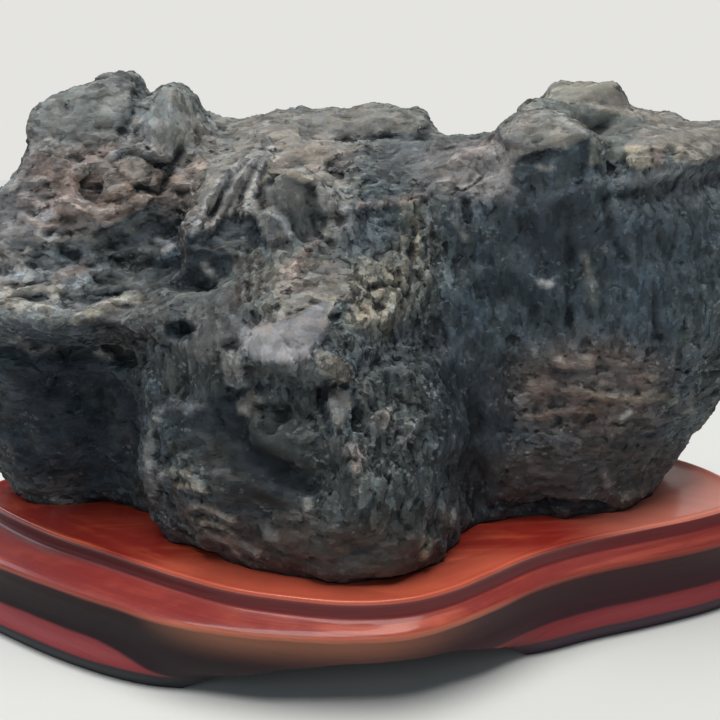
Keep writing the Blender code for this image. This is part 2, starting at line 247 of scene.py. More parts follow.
class Tint(Enum):
    """The stone's colours, as linear red, green and blue; some serve as painted shade and one as painted fill
    light.
    """

    # BLUE_BLACK, DEEP and BLACK are laid as painted shade in recesses, creases and undercuts; BLUE_BLACK also
    # darkens broad patches at random.
    BLUE_BLACK = (0.013, 0.024, 0.036)
    DEEP = (0.022, 0.032, 0.042)
    DARK_SLATE = (0.046, 0.055, 0.055)
    # Painted fill light: a pale tint that lifts the shade in the dark hollow and under the right block.
    HOLLOW = (0.230, 0.248, 0.266)
    BLACK = (0.005, 0.005, 0.005)
    PLATE = (0.078, 0.090, 0.098)
    KNOB = (0.172, 0.176, 0.174)
    END_GREY = (0.235, 0.228, 0.236)
    DULL = (0.090, 0.091, 0.091)
    SLATE = (0.044, 0.064, 0.080)
    BLUE_GREY = (0.100, 0.122, 0.140)
    GREEN_GREY = (0.125, 0.142, 0.132)
    GREY = (0.200, 0.204, 0.206)
    ASH = (0.330, 0.345, 0.352)
    PALE = (0.420, 0.415, 0.410)
    CREAM = (0.450, 0.410, 0.335)
    TAN = (0.270, 0.235, 0.175)
    PINK = (0.350, 0.275, 0.245)
    RUST = (0.185, 0.135, 0.115)
    BROWN = (0.052, 0.038, 0.032)
    OLIVE = (0.155, 0.158, 0.134)
    GREY_GREEN = (0.255, 0.268, 0.262)
    DARK_GREY = (0.072, 0.079, 0.080)
    DARK_GREEN = (0.150, 0.159, 0.149)
    MIDDLE_GREY = (0.145, 0.148, 0.144)
    WARM_DARK = (0.145, 0.135, 0.118)
    PINK_GREY = (0.205, 0.176, 0.156)
    WARM_GREY = (0.245, 0.228, 0.205)
    LILAC = (0.310, 0.302, 0.312)
    SHOULDER = (0.345, 0.300, 0.265)
    SLOPE = (0.290, 0.268, 0.262)
    ASH_DARK = (0.222, 0.216, 0.200)
    TAN_GREY = (0.308, 0.288, 0.245)
    CREAM_DARK = (0.330, 0.305, 0.245)
    RUST_DARK = (0.110, 0.078, 0.066)


@dataclass(frozen=True)
class Stroke:
    """A ridge, or a hollow, worked into the side that the photograph shows.

    The path is in the photograph's pixels and so is its half width; rise is in millimetres, and below
    nought for a hollow. A stroke may also lay down a tint.
    """

    path: tuple[Pixel, ...]
    reach: float
    rise: float
    tint: Tint | None = None
    strength: float = 0.7

    def weight(self, spots: np.ndarray) -> np.ndarray:
        """Returns how strongly the stroke is felt at each spot, from 0 to 1."""
        return np.clip(1 - distance_to(spots, self.path) / self.reach, 0, 1) ** 1.25


@dataclass(frozen=True)
class Zone:
    """A patch of the photographed side with its own grain, tint and roughness.

    Its centre and half sizes are in the photograph's pixels.
    """

    centre: Pixel
    radii: Pixel
    grain: Grain | None = None
    tint: Tint | None = None
    strength: float = 0.8
    rough: float = 1.0

    def weight(self, spots: np.ndarray) -> np.ndarray:
        """Returns how strongly the zone is felt at each spot, from 0 to 1."""
        away = (spots - np.array(self.centre)) / np.array(self.radii)
        return np.exp(-((away * away).sum(axis=1) ** 1.5))


@dataclass(frozen=True)
class Face:
    """A flat broken face with a crisp edge, on the side that the photograph shows.

    Its outline is in the photograph's pixels. The face rises, or sinks, by some millimetres at its edge,
    and it has its own tint and roughness.
    """

    outline: tuple[Pixel, ...]
    rise: float = 0.0
    tint: Tint | None = None
    strength: float = 0.95
    rough: float = 1.0
    soft: float = 2.5

    def weight(self, spots: np.ndarray) -> np.ndarray:
        """Finds how strongly the face is felt.

        Args:
            spots: The spots in the photograph, one (x, y) a row.

        Returns:
            From 0 outside to 1 inside for each spot.
        """
        corners = np.array(self.outline, float)
        found = np.zeros(len(spots))
        low, high = corners.min(axis=0) - self.soft, corners.max(axis=0) + self.soft
        near = np.flatnonzero(((spots > low) & (spots < high)).all(axis=1))
        x, y = spots[near].T
        inside = np.zeros(len(near), bool)
        for (x0, y0), (x1, y1) in zip(corners, np.roll(corners, -1, 0)):
            crosses = (y0 > y) != (y1 > y)
            inside ^= crosses & (x < x0 + (x1 - x0) * (y - y0) / (y1 - y0 + 1e-9))
        depth = distance_to(spots[near], (*self.outline, self.outline[0]))
        found[near] = eased(0.5 + np.where(inside, depth, -depth) / (2 * self.soft))
        return found


@dataclass(frozen=True)
class Nudge:
    """A small shift of the stone near one place, all in the photograph's pixels."""

    centre: Pixel
    reach: Pixel
    shift: Pixel


ZONES = {
    "head": Zone((84, 118), (66, 50), Grain.LEVEL, Tint.GREY_GREEN, 0.95, 0.45),
    "second bump": Zone((174, 122), (46, 46), Grain.UPRIGHT, Tint.GREY_GREEN, 0.95, 0.45),
    "left folds": Zone((100, 188), (100, 46), Grain.LEVEL, Tint.RUST, 0.85, 0.8),
    "left end": Zone((10, 225), (40, 50), Grain.LEVEL, Tint.END_GREY, 0.9, 0.6),
    "fan": Zone((230, 184), (40, 46), Grain.RISING, Tint.WARM_GREY, 0.9, 0.3),
    "behind the fan": Zone((228, 134), (56, 22), Grain.LEVEL, Tint.ASH_DARK, 0.9, 0.6),
    "pink shoulder": Zone((302, 146), (54, 36), Grain.LEVEL, Tint.SHOULDER, 0.95, 0.5),
    "plateau": Zone((355, 120), (88, 20), Grain.LEVEL, Tint.ASH_DARK, 0.9, 0.35),
    "plate": Zone((420, 160), (66, 26), Grain.LEVEL, Tint.PLATE, 0.95, 0.4),
    "middle wall": Zone((375, 225), (48, 32), Grain.UPRIGHT, Tint.SLATE, 0.8, 0.7),
    "fibres": Zone((420, 250), (26, 60), Grain.UPRIGHT, Tint.OLIVE, 0.7, 1.2),
    "spikes": Zone((255, 280), (30, 34), Grain.UPRIGHT, Tint.OLIVE, 0.5, 1.2),
    "rough patch": Zone((378, 298), (28, 38), Grain.UPRIGHT, Tint.TAN, 0.65, 1.25),
    # painted fill light: the pale tint lifts the shade of the dark hollow
    "dark hollow": Zone((140, 228), (46, 20), Grain.LEVEL, Tint.HOLLOW, 0.9, 0.55),
    "left ledge": Zone((56, 280), (86, 34), Grain.LEVEL, Tint.ASH, 0.85, 0.7),
    "ledge's end": Zone((118, 308), (46, 22), Grain.LEVEL, Tint.DULL, 0.9, 0.7),
    # painted shade in the recess under the left ledge
    "recess": Zone((78, 412), (112, 78), Grain.LEVEL, Tint.BLUE_BLACK, 0.9, 0.45),
    # painted shade in the cleft
    "cleft": Zone((196, 270), (52, 32), Grain.LEVEL, Tint.DEEP, 0.95, 0.45),
    "low cheek": Zone((195, 375), (40, 34), Grain.UPRIGHT, Tint.DARK_SLATE, 0.9, 0.9),
    "cheek": Zone((222, 330), (40, 34), Grain.UPRIGHT, Tint.DULL, 0.8, 1.0),
    "by the heart block": Zone((386, 425), (26, 26), Grain.UPRIGHT, Tint.DARK_SLATE, 0.9, 1.2),
    # painted shade in the cheek's hollow
    "cheek hollow": Zone((232, 432), (50, 40), Grain.LEVEL, Tint.BLUE_BLACK, 0.85, 0.45),
    "over the facet": Zone((306, 280), (46, 20), Grain.LEVEL, Tint.PINK_GREY, 0.75, 0.8),
    "arch's right limb": Zone((334, 204), (18, 36), Grain.FALLING, Tint.WARM_GREY, 0.85, 0.8),
    # painted shade under the bright facet
    "under the facet": Zone((285, 385), (58, 26), Grain.UPRIGHT, Tint.SLATE, 0.8, 0.5),
    # painted shade in the deep middle below the facet
    "dark centre": Zone((262, 462), (72, 46), Grain.LEVEL, Tint.BLACK, 1.0, 0.3),
    "bulge": Zone((400, 455), (84, 104), Grain.UPRIGHT, Tint.DARK_SLATE, 0.85, 1.3),
    "bulge's foot": Zone((300, 562), (180, 40), Grain.LEVEL, Tint.BROWN, 0.85, 0.5),
    "bulge's left": Zone((178, 490), (40, 46), Grain.FALLING, Tint.DARK_SLATE, 0.95, 1.1),
    # painted shade in the valley beside the bulge
    "valley": Zone((475, 420), (42, 110), Grain.UPRIGHT, Tint.BLUE_BLACK, 0.75, 0.5),
    # the stone's slate colour, darkened in part as painted shade of the upright face
    "right face": Zone((590, 250), (140, 80), Grain.UPRIGHT, Tint.SLATE, 0.95, 0.55),
    # the stone's slate colour, darkened in part as painted shade of the upright face
    "low right face": Zone((560, 310), (120, 50), Grain.UPRIGHT, Tint.SLATE, 0.9, 0.6),
    "right slope": Zone((480, 166), (52, 30), Grain.RISING, Tint.SLOPE, 0.95, 0.5),
    "brow": Zone((540, 124), (44, 18), Grain.LEVEL, Tint.ASH_DARK, 0.9, 0.6),
    "peak": Zone((585, 92), (52, 18), Grain.LEVEL, Tint.TAN_GREY, 0.9, 0.4),
    "far right top": Zone((690, 132), (62, 22), Grain.LEVEL, Tint.WARM_GREY, 0.9, 0.4),
    "right brown": Zone((588, 388), (76, 44), Grain.LEVEL, Tint.RUST, 0.65, 0.65),
    # painted shade on the middle of the upright right face
    "middle of the right face": Zone((560, 235), (46, 44), Grain.UPRIGHT, Tint.DEEP, 0.95, 0.5),
    # painted fill light: the pale tint lifts the shade under the overhanging right block
    "under the right block": Zone((672, 186), (50, 18), Grain.UPRIGHT, Tint.HOLLOW, 0.8, 0.5),
    "right foot": Zone((590, 480), (110, 42), Grain.LEVEL, Tint.BROWN, 0.7, 0.6),
}

STROKES = {
    # painted shade in the head's cleft
    "head's cleft": Stroke(((140, 82), (138, 100), (130, 120), (122, 132)), 9, -3.0, Tint.SLATE, 0.4),
    "head's cap": Stroke(((100, 88), (118, 78), (134, 86)), 12, 1.6, Tint.GREY, 0.4),
    "head's pale spot": Stroke(((108, 108),), 10, 1.0, Tint.PALE, 0.7),
    "head's cheek": Stroke(((30, 128), (44, 110), (60, 104)), 14, 1.5, Tint.GREY, 0.4),
    "head's hollow": Stroke(((60, 108), (72, 114)), 10, -1.2),
    "head's low line": Stroke(((84, 140), (108, 136), (130, 138)), 6, 1.2, Tint.PALE, 0.4),
    "head's under line": Stroke(((82, 147), (108, 144)), 5, -1.0),
    "bump's streak": Stroke(((170, 90), (171, 100), (170, 110)), 4, 0.6, Tint.PALE, 0.8),
    "bump's foot": Stroke(((130, 118), (148, 126), (168, 128)), 6, 1.2, Tint.PALE, 0.4),
    "arc": Stroke(((112, 158), (122, 151), (138, 150), (152, 156), (168, 160)), 7, 3.0, Tint.GREY, 0.6),
    # painted shade under the arc
    "under the arc": Stroke(((120, 158), (134, 155), (150, 162), (168, 168)), 6, -4.0, Tint.BLUE_BLACK, 0.7),
    # painted shade in the crease
    "slanting crease": Stroke(
        ((182, 148), (176, 162), (168, 176), (160, 190)), 6, -4.0, Tint.BLUE_BLACK, 0.7
    ),
    "pocket's roof": Stroke(((78, 172), (92, 166), (110, 170)), 8, 2.4, Tint.GREY, 0.4),
    "pocket's left": Stroke(((68, 188), (72, 178)), 8, 2.5, Tint.PINK, 0.6),
    # painted shade in the pocket
    "second pocket": Stroke(((140, 186), (154, 188)), 8, -3.5, Tint.BLUE_BLACK, 0.7),
    "pink patch": Stroke(((180, 180), (192, 170), (200, 164)), 11, 2.2, Tint.PINK, 0.8),
    "pink patch's shade": Stroke(((180, 193), (196, 188)), 7, -2.6, Tint.RUST, 0.8),
    "low fold": Stroke(((20, 200), (40, 204), (62, 206), (78, 212)), 7, 2.6, Tint.PINK, 0.7),
    "low fold's shade": Stroke(((58, 218), (74, 222)), 6, -3.0, Tint.RUST, 0.8),
    "lower fold": Stroke(((24, 218), (44, 226), (66, 228), (84, 224)), 7, 2.4, Tint.PINK, 0.6),
    "lowest fold": Stroke(((40, 238), (62, 240), (86, 236), (96, 228)), 6, 2.6, Tint.CREAM, 0.4),
    "line at the left end": Stroke(((0, 192), (20, 184), (44, 180)), 6, 2.0, Tint.PALE, 0.4),
    "crack above the line": Stroke(((24, 176), (34, 164), (48, 158)), 6, -2.0),
    "left rim": Stroke(((28, 250), (24, 262), (30, 272)), 6, 2.0, Tint.PALE, 0.6),
    # painted shade in the pocket on the ledge
    "dark pocket on the ledge": Stroke(((62, 250), (76, 254)), 9, -3.0, Tint.SLATE, 0.6),
    "ledge's first lip": Stroke(
        ((84, 262), (100, 254), (118, 250), (136, 248), (158, 252)), 7, 3.4, Tint.GREY, 0.7
    ),
    # painted shade in the ledge's crease
    "ledge's crease": Stroke(((80, 266), (100, 263), (124, 258)), 4, -2.4, Tint.SLATE, 0.6),
    "pink bar": Stroke(((58, 280), (72, 272), (82, 268)), 7, 2.4, Tint.PINK, 0.8),
    "shining lump": Stroke(((82, 284), (80, 292)), 6, 2.0, Tint.PALE, 0.9),
    "ledge's second lip": Stroke(((4, 292), (22, 292), (42, 288), (56, 292)), 7, 2.6, Tint.CREAM, 0.7),
    "ledge's third lip": Stroke(((4, 304), (30, 306), (48, 308)), 6, 2.4, Tint.CREAM, 0.6),
    "ledge's dark bed": Stroke(((0, 284), (20, 284), (44, 281)), 4, -2.2, Tint.RUST, 0.6),
    "ledge's lower bed": Stroke(((0, 298), (24, 299), (50, 300)), 4, -2.2, Tint.RUST, 0.5),
    "bright band": Stroke(
        ((76, 320), (92, 312), (108, 304), (124, 298), (138, 300)), 9, 3.6, Tint.CREAM, 0.8
    ),
    # painted shade behind the bright band
    "bright band's back": Stroke(((84, 298), (100, 294), (122, 288)), 8, -2.4, Tint.SLATE, 0.7),
    "green shade": Stroke(((84, 288), (104, 280), (124, 282)), 9, -1.6, Tint.GREEN_GREY, 0.6),
    # painted shade under the bright band
    "under the band": Stroke(((66, 328), (90, 324), (118, 330)), 7, -3.0, Tint.BLUE_BLACK, 0.7),
    "recess's vein": Stroke(((0, 338), (20, 342), (34, 350), (52, 348)), 6, 2.6, Tint.GREY, 0.6),
    "recess's tuft": Stroke(((100, 352), (110, 356)), 7, 2.4, Tint.PALE, 0.6),
    "recess's lump": Stroke(((100, 366), (130, 372), (150, 384)), 16, 3.0, Tint.SLATE, 0.7),
    # painted shade in the cleft's mouth
    "cleft's mouth": Stroke(((170, 284), (190, 284), (214, 288)), 9, -6.0, Tint.BLUE_BLACK, 0.8),
    "cleft's white": Stroke(((206, 266), (212, 274)), 6, 1.6, Tint.PALE, 0.7),
    "fold by the cleft": Stroke(((160, 240), (172, 246), (166, 252)), 6, 2.4, Tint.PALE, 0.6),
    "cheek's step": Stroke(((160, 262), (178, 258), (200, 262)), 9, 2.0, Tint.SLATE, 0.5),
    # painted shade in the cheek's hollow
    "hollow in the cheek": Stroke(((216, 412), (226, 426), (240, 440)), 16, -2.2, Tint.SLATE, 0.7),
    "cheek's bottom": Stroke(((170, 400), (186, 408), (200, 404)), 10, 2.4, Tint.GREY, 0.4),
    "bulge's left rim": Stroke(((160, 412), (150, 440), (146, 470), (152, 492)), 9, 2.4, Tint.GREY, 0.7),
    "first diagonal": Stroke(((160, 478), (172, 470), (186, 474), (200, 482)), 5, 2.4, Tint.WARM_GREY, 0.6),
    "second diagonal": Stroke(
        ((184, 512), (198, 506), (214, 510), (232, 520)), 5.5, 2.4, Tint.WARM_GREY, 0.7
    ),
    "third diagonal": Stroke(((228, 540), (244, 546), (256, 554)), 5, 1.8, Tint.WARM_GREY, 0.5),
    # painted shade between the diagonals
    "between the diagonals": Stroke(((160, 492), (184, 494), (210, 498)), 6, -2.6, Tint.SLATE, 0.7),
    "level streak": Stroke(((196, 474), (214, 474), (230, 472)), 4, 1.6, Tint.GREY, 0.5),
    "upper diagonal": Stroke(((176, 486), (190, 484), (206, 490)), 3.5, 1.6, Tint.TAN, 0.7),
    "middle diagonal": Stroke(((198, 522), (214, 524), (232, 534)), 3.5, 1.6, Tint.TAN, 0.7),
    "lower diagonal": Stroke(((206, 532), (224, 542), (240, 554)), 3.5, 1.4, Tint.PINK, 0.5),
    # painted shade in the dark middle
    "dark middle": Stroke(((250, 462), (280, 478), (306, 490)), 22, -4.5, Tint.BLUE_BLACK, 0.8),
    "pale tooth": Stroke(((306, 500), (308, 512)), 8, 2.6, Tint.GREY, 0.7),
    "low tooth": Stroke(((266, 528), (272, 540)), 9, 2.2, Tint.GREY, 0.5),
    # painted shade under the facet
    "deep under the facet": Stroke(((262, 386), (284, 388), (306, 392)), 14, -1.2, Tint.SLATE, 0.6),
    "shade left of the block": Stroke(((322, 388), (322, 410), (328, 432)), 6, -4.0, Tint.BLUE_BLACK, 0.7),
    "shade right of the block": Stroke(((354, 392), (356, 412), (356, 430)), 6, -3.6, Tint.BLUE_BLACK, 0.7),
    "mottled shelf": Stroke(((396, 430), (412, 428), (404, 440)), 11, 2.6, Tint.GREY, 0.7),
    "brown block": Stroke(((352, 450), (362, 458), (358, 468)), 10, 2.4, Tint.PINK, 0.5),
    "oval lump": Stroke(((428, 540), (424, 552)), 9, 3.2, Tint.TAN, 0.7),
    "lump over the oval": Stroke(((440, 508), (450, 516)), 11, 2.6, Tint.GREY, 0.4),
    "first spike": Stroke(((238, 258), (240, 280), (239, 304)), 4, -3.4, Tint.BROWN, 0.9),
    "second spike": Stroke(((248, 254), (249, 276), (248, 300)), 4, -3.4, Tint.BROWN, 0.9),
    "third spike": Stroke(((258, 258), (259, 276), (258, 296)), 4, -3.0, Tint.BROWN, 0.8),
    "pink rib": Stroke(((316, 240), (306, 252), (298, 264), (292, 274)), 8, 3.2, Tint.PINK, 0.8),
    "line over the knob": Stroke(
        ((262, 180), (268, 176), (280, 172), (296, 176), (312, 179)), 4, 1.6, Tint.CREAM, 0.8
    ),
    "arc's pale rim": Stroke(
        ((264, 213), (274, 215), (283, 221), (288, 230), (289, 238)), 3.5, 1.0, Tint.ASH, 0.7
    ),
    "rim of the heart": Stroke(((378, 412), (388, 408), (393, 417), (387, 430)), 3.5, 1.0, Tint.PALE, 0.7),
    "crack of the facet": Stroke(
        ((250, 328), (264, 325), (286, 321), (300, 312), (314, 301)), 3, -2.0, Tint.RUST_DARK, 0.6
    ),
    "facet's vein": Stroke(((334, 300), (331, 312), (323, 324)), 3, 0.8, Tint.CREAM, 0.6),
    "slab's beds": Stroke(((551, 95), (572, 93), (600, 95), (614, 95)), 3, -1.0, Tint.OLIVE, 0.5),
    "slope's pale edge": Stroke(((592, 104), (602, 108), (616, 110), (638, 115)), 3.5, 1.2, Tint.CREAM, 0.7),
    "block's pale top": Stroke(((626, 149), (650, 147), (671, 145), (684, 146)), 3, 1.0, Tint.CREAM, 0.6),
    "brow's pale edge": Stroke(((548, 112), (562, 116), (573, 126), (588, 135)), 3.5, 1.2, Tint.PALE, 0.7),
    # painted shade in the shoulder's pit
    "shoulder's eye": Stroke(((328, 166), (342, 172)), 8, -3.4, Tint.BLUE_BLACK, 0.6),
    "shoulder's nose": Stroke(((348, 172), (362, 164)), 7, 3.0, Tint.GREY, 0.5),
    "shoulder's bright edge": Stroke(((318, 184), (328, 192), (340, 196)), 7, 2.0, Tint.PALE, 0.7),
    "shoulder's wave": Stroke(((326, 206), (340, 208), (356, 214), (352, 228)), 8, 2.6, Tint.GREY, 0.8),
    "edge of the middle wall": Stroke(
        ((360, 204), (384, 202), (404, 202), (420, 196)), 6, 2.2, Tint.PINK, 0.6
    ),
    "middle wall": Stroke(((370, 222), (392, 226)), 22, -2.0, Tint.SLATE, 0.6),
    "edge of the plate": Stroke(((360, 148), (384, 144), (410, 142), (440, 144)), 5, 2.2, Tint.GREY, 0.7),
    "shade of the plateau": Stroke(((336, 138), (372, 138), (430, 136)), 5, -2.0, Tint.SLATE, 0.4),
    "rough lump": Stroke(((366, 306), (374, 318)), 8, 2.6, Tint.TAN, 0.7),
    "yellow lump": Stroke(((380, 292), (392, 296), (388, 312)), 9, 2.8, Tint.CREAM, 0.6),
    "pits by the yellow lump": Stroke(((362, 284), (372, 290), (384, 286)), 5, -2.6, Tint.BROWN, 0.8),
    "first fibre": Stroke(((416, 220), (418, 240), (416, 258)), 5, 2.2, Tint.TAN, 0.8),
    "second fibre": Stroke(((430, 220), (428, 250), (430, 280)), 5, 1.8, Tint.GREY, 0.5),
    "third fibre": Stroke(((402, 240), (406, 264), (404, 290)), 5, 2.0, Tint.TAN, 0.5),
    "dark fibre": Stroke(((410, 236), (412, 262), (408, 296)), 4, -2.6, Tint.BROWN, 0.7),
    # painted shade in the slot
    "slot": Stroke(((466, 202), (466, 216), (468, 230)), 6, -4.0, Tint.BLUE_BLACK, 0.8),
    "edge by the slot": Stroke(((458, 206), (458, 224), (464, 240)), 4, 1.6, Tint.GREY, 0.6),
    "slope's edge": Stroke(
        ((450, 162), (472, 150), (496, 138), (520, 122), (530, 112)), 6, 2.0, Tint.PINK, 0.5
    ),
    "slope's low lip": Stroke(((424, 194), (436, 184), (448, 182)), 5, 2.2, Tint.PALE, 0.7),
    "slope's foot": Stroke(((472, 190), (484, 184), (498, 180)), 6, 2.0, Tint.GREY, 0.5),
    "brow's teeth": Stroke(((512, 142), (528, 148)), 6, 1.6, Tint.GREY, 0.6),
    "face's white fleck": Stroke(((540, 166), (552, 168)), 4, 0.8, Tint.PALE, 0.6),
    "peak's bed": Stroke(((552, 101), (580, 101), (604, 103)), 4, -1.4, Tint.OLIVE, 0.6),
    # painted shade under the right block
    "under the block": Stroke(
        ((606, 196), (640, 190), (670, 186), (720, 180)), 12, -2.4, Tint.BLUE_BLACK, 0.6
    ),
    # painted shade in the upright crease
    "upright crease": Stroke(((568, 240), (570, 280), (568, 324)), 8, -4.2, Tint.BLUE_BLACK, 0.8),
    "rib by the crease": Stroke(((584, 258), (590, 280), (594, 300)), 10, 2.4, Tint.OLIVE, 0.4),
    # painted shade in the second crease
    "second crease": Stroke(((606, 200), (612, 236), (628, 262)), 7, -2.4, Tint.BLUE_BLACK, 0.4),
    # painted shade in the third crease
    "third crease": Stroke(((656, 300), (656, 322), (658, 340)), 6, -3.0, Tint.BLUE_BLACK, 0.6),
    "white fleck": Stroke(((540, 284), (550, 286)), 5, 1.0, Tint.PALE, 0.9),
    "brown shelf": Stroke(((560, 364), (580, 366), (590, 362)), 9, 3.0, Tint.PINK, 0.5),
    "second brown shelf": Stroke(((530, 386), (560, 390), (600, 398)), 9, 2.4, Tint.RUST, 0.6),
    "third brown shelf": Stroke(((584, 392), (604, 398), (640, 398), (676, 400)), 6, 2.4, Tint.TAN, 0.5),
    "fourth brown shelf": Stroke(((528, 416), (560, 412), (600, 408)), 8, 2.2, Tint.RUST, 0.6),
    "white stroke": Stroke(((622, 418), (630, 412)), 4, 1.4, Tint.PALE, 0.9),
    "right low lump": Stroke(((604, 472), (610, 484)), 9, 2.4, Tint.GREY, 0.4),
    "bottom right lump": Stroke(((620, 500), (636, 492)), 11, 2.0, Tint.OLIVE, 0.4),
    # painted shade in the undercut above the stand
    "undercut": Stroke(((490, 508), (520, 506), (560, 504), (600, 506)), 10, -5.0, Tint.BLUE_BLACK, 0.7),
}

NUDGES = {
    "neck under the head": Nudge((34, 142), (24, 26), (-10, 0)),
    "shoulder under the neck": Nudge((6, 172), (28, 15), (0, 9)),
    "second bump's top": Nudge((174, 94), (24, 20), (0, -6)),
    "plateau's right corner": Nudge((420, 112), (16, 14), (5, -3)),
    "peak's right corner": Nudge((612, 86), (13, 11), (2, -4)),
    "saddle right of the peak": Nudge((654, 118), (22, 16), (0, -10)),
    "far right top": Nudge((710, 108), (30, 18), (0, 9)),
}

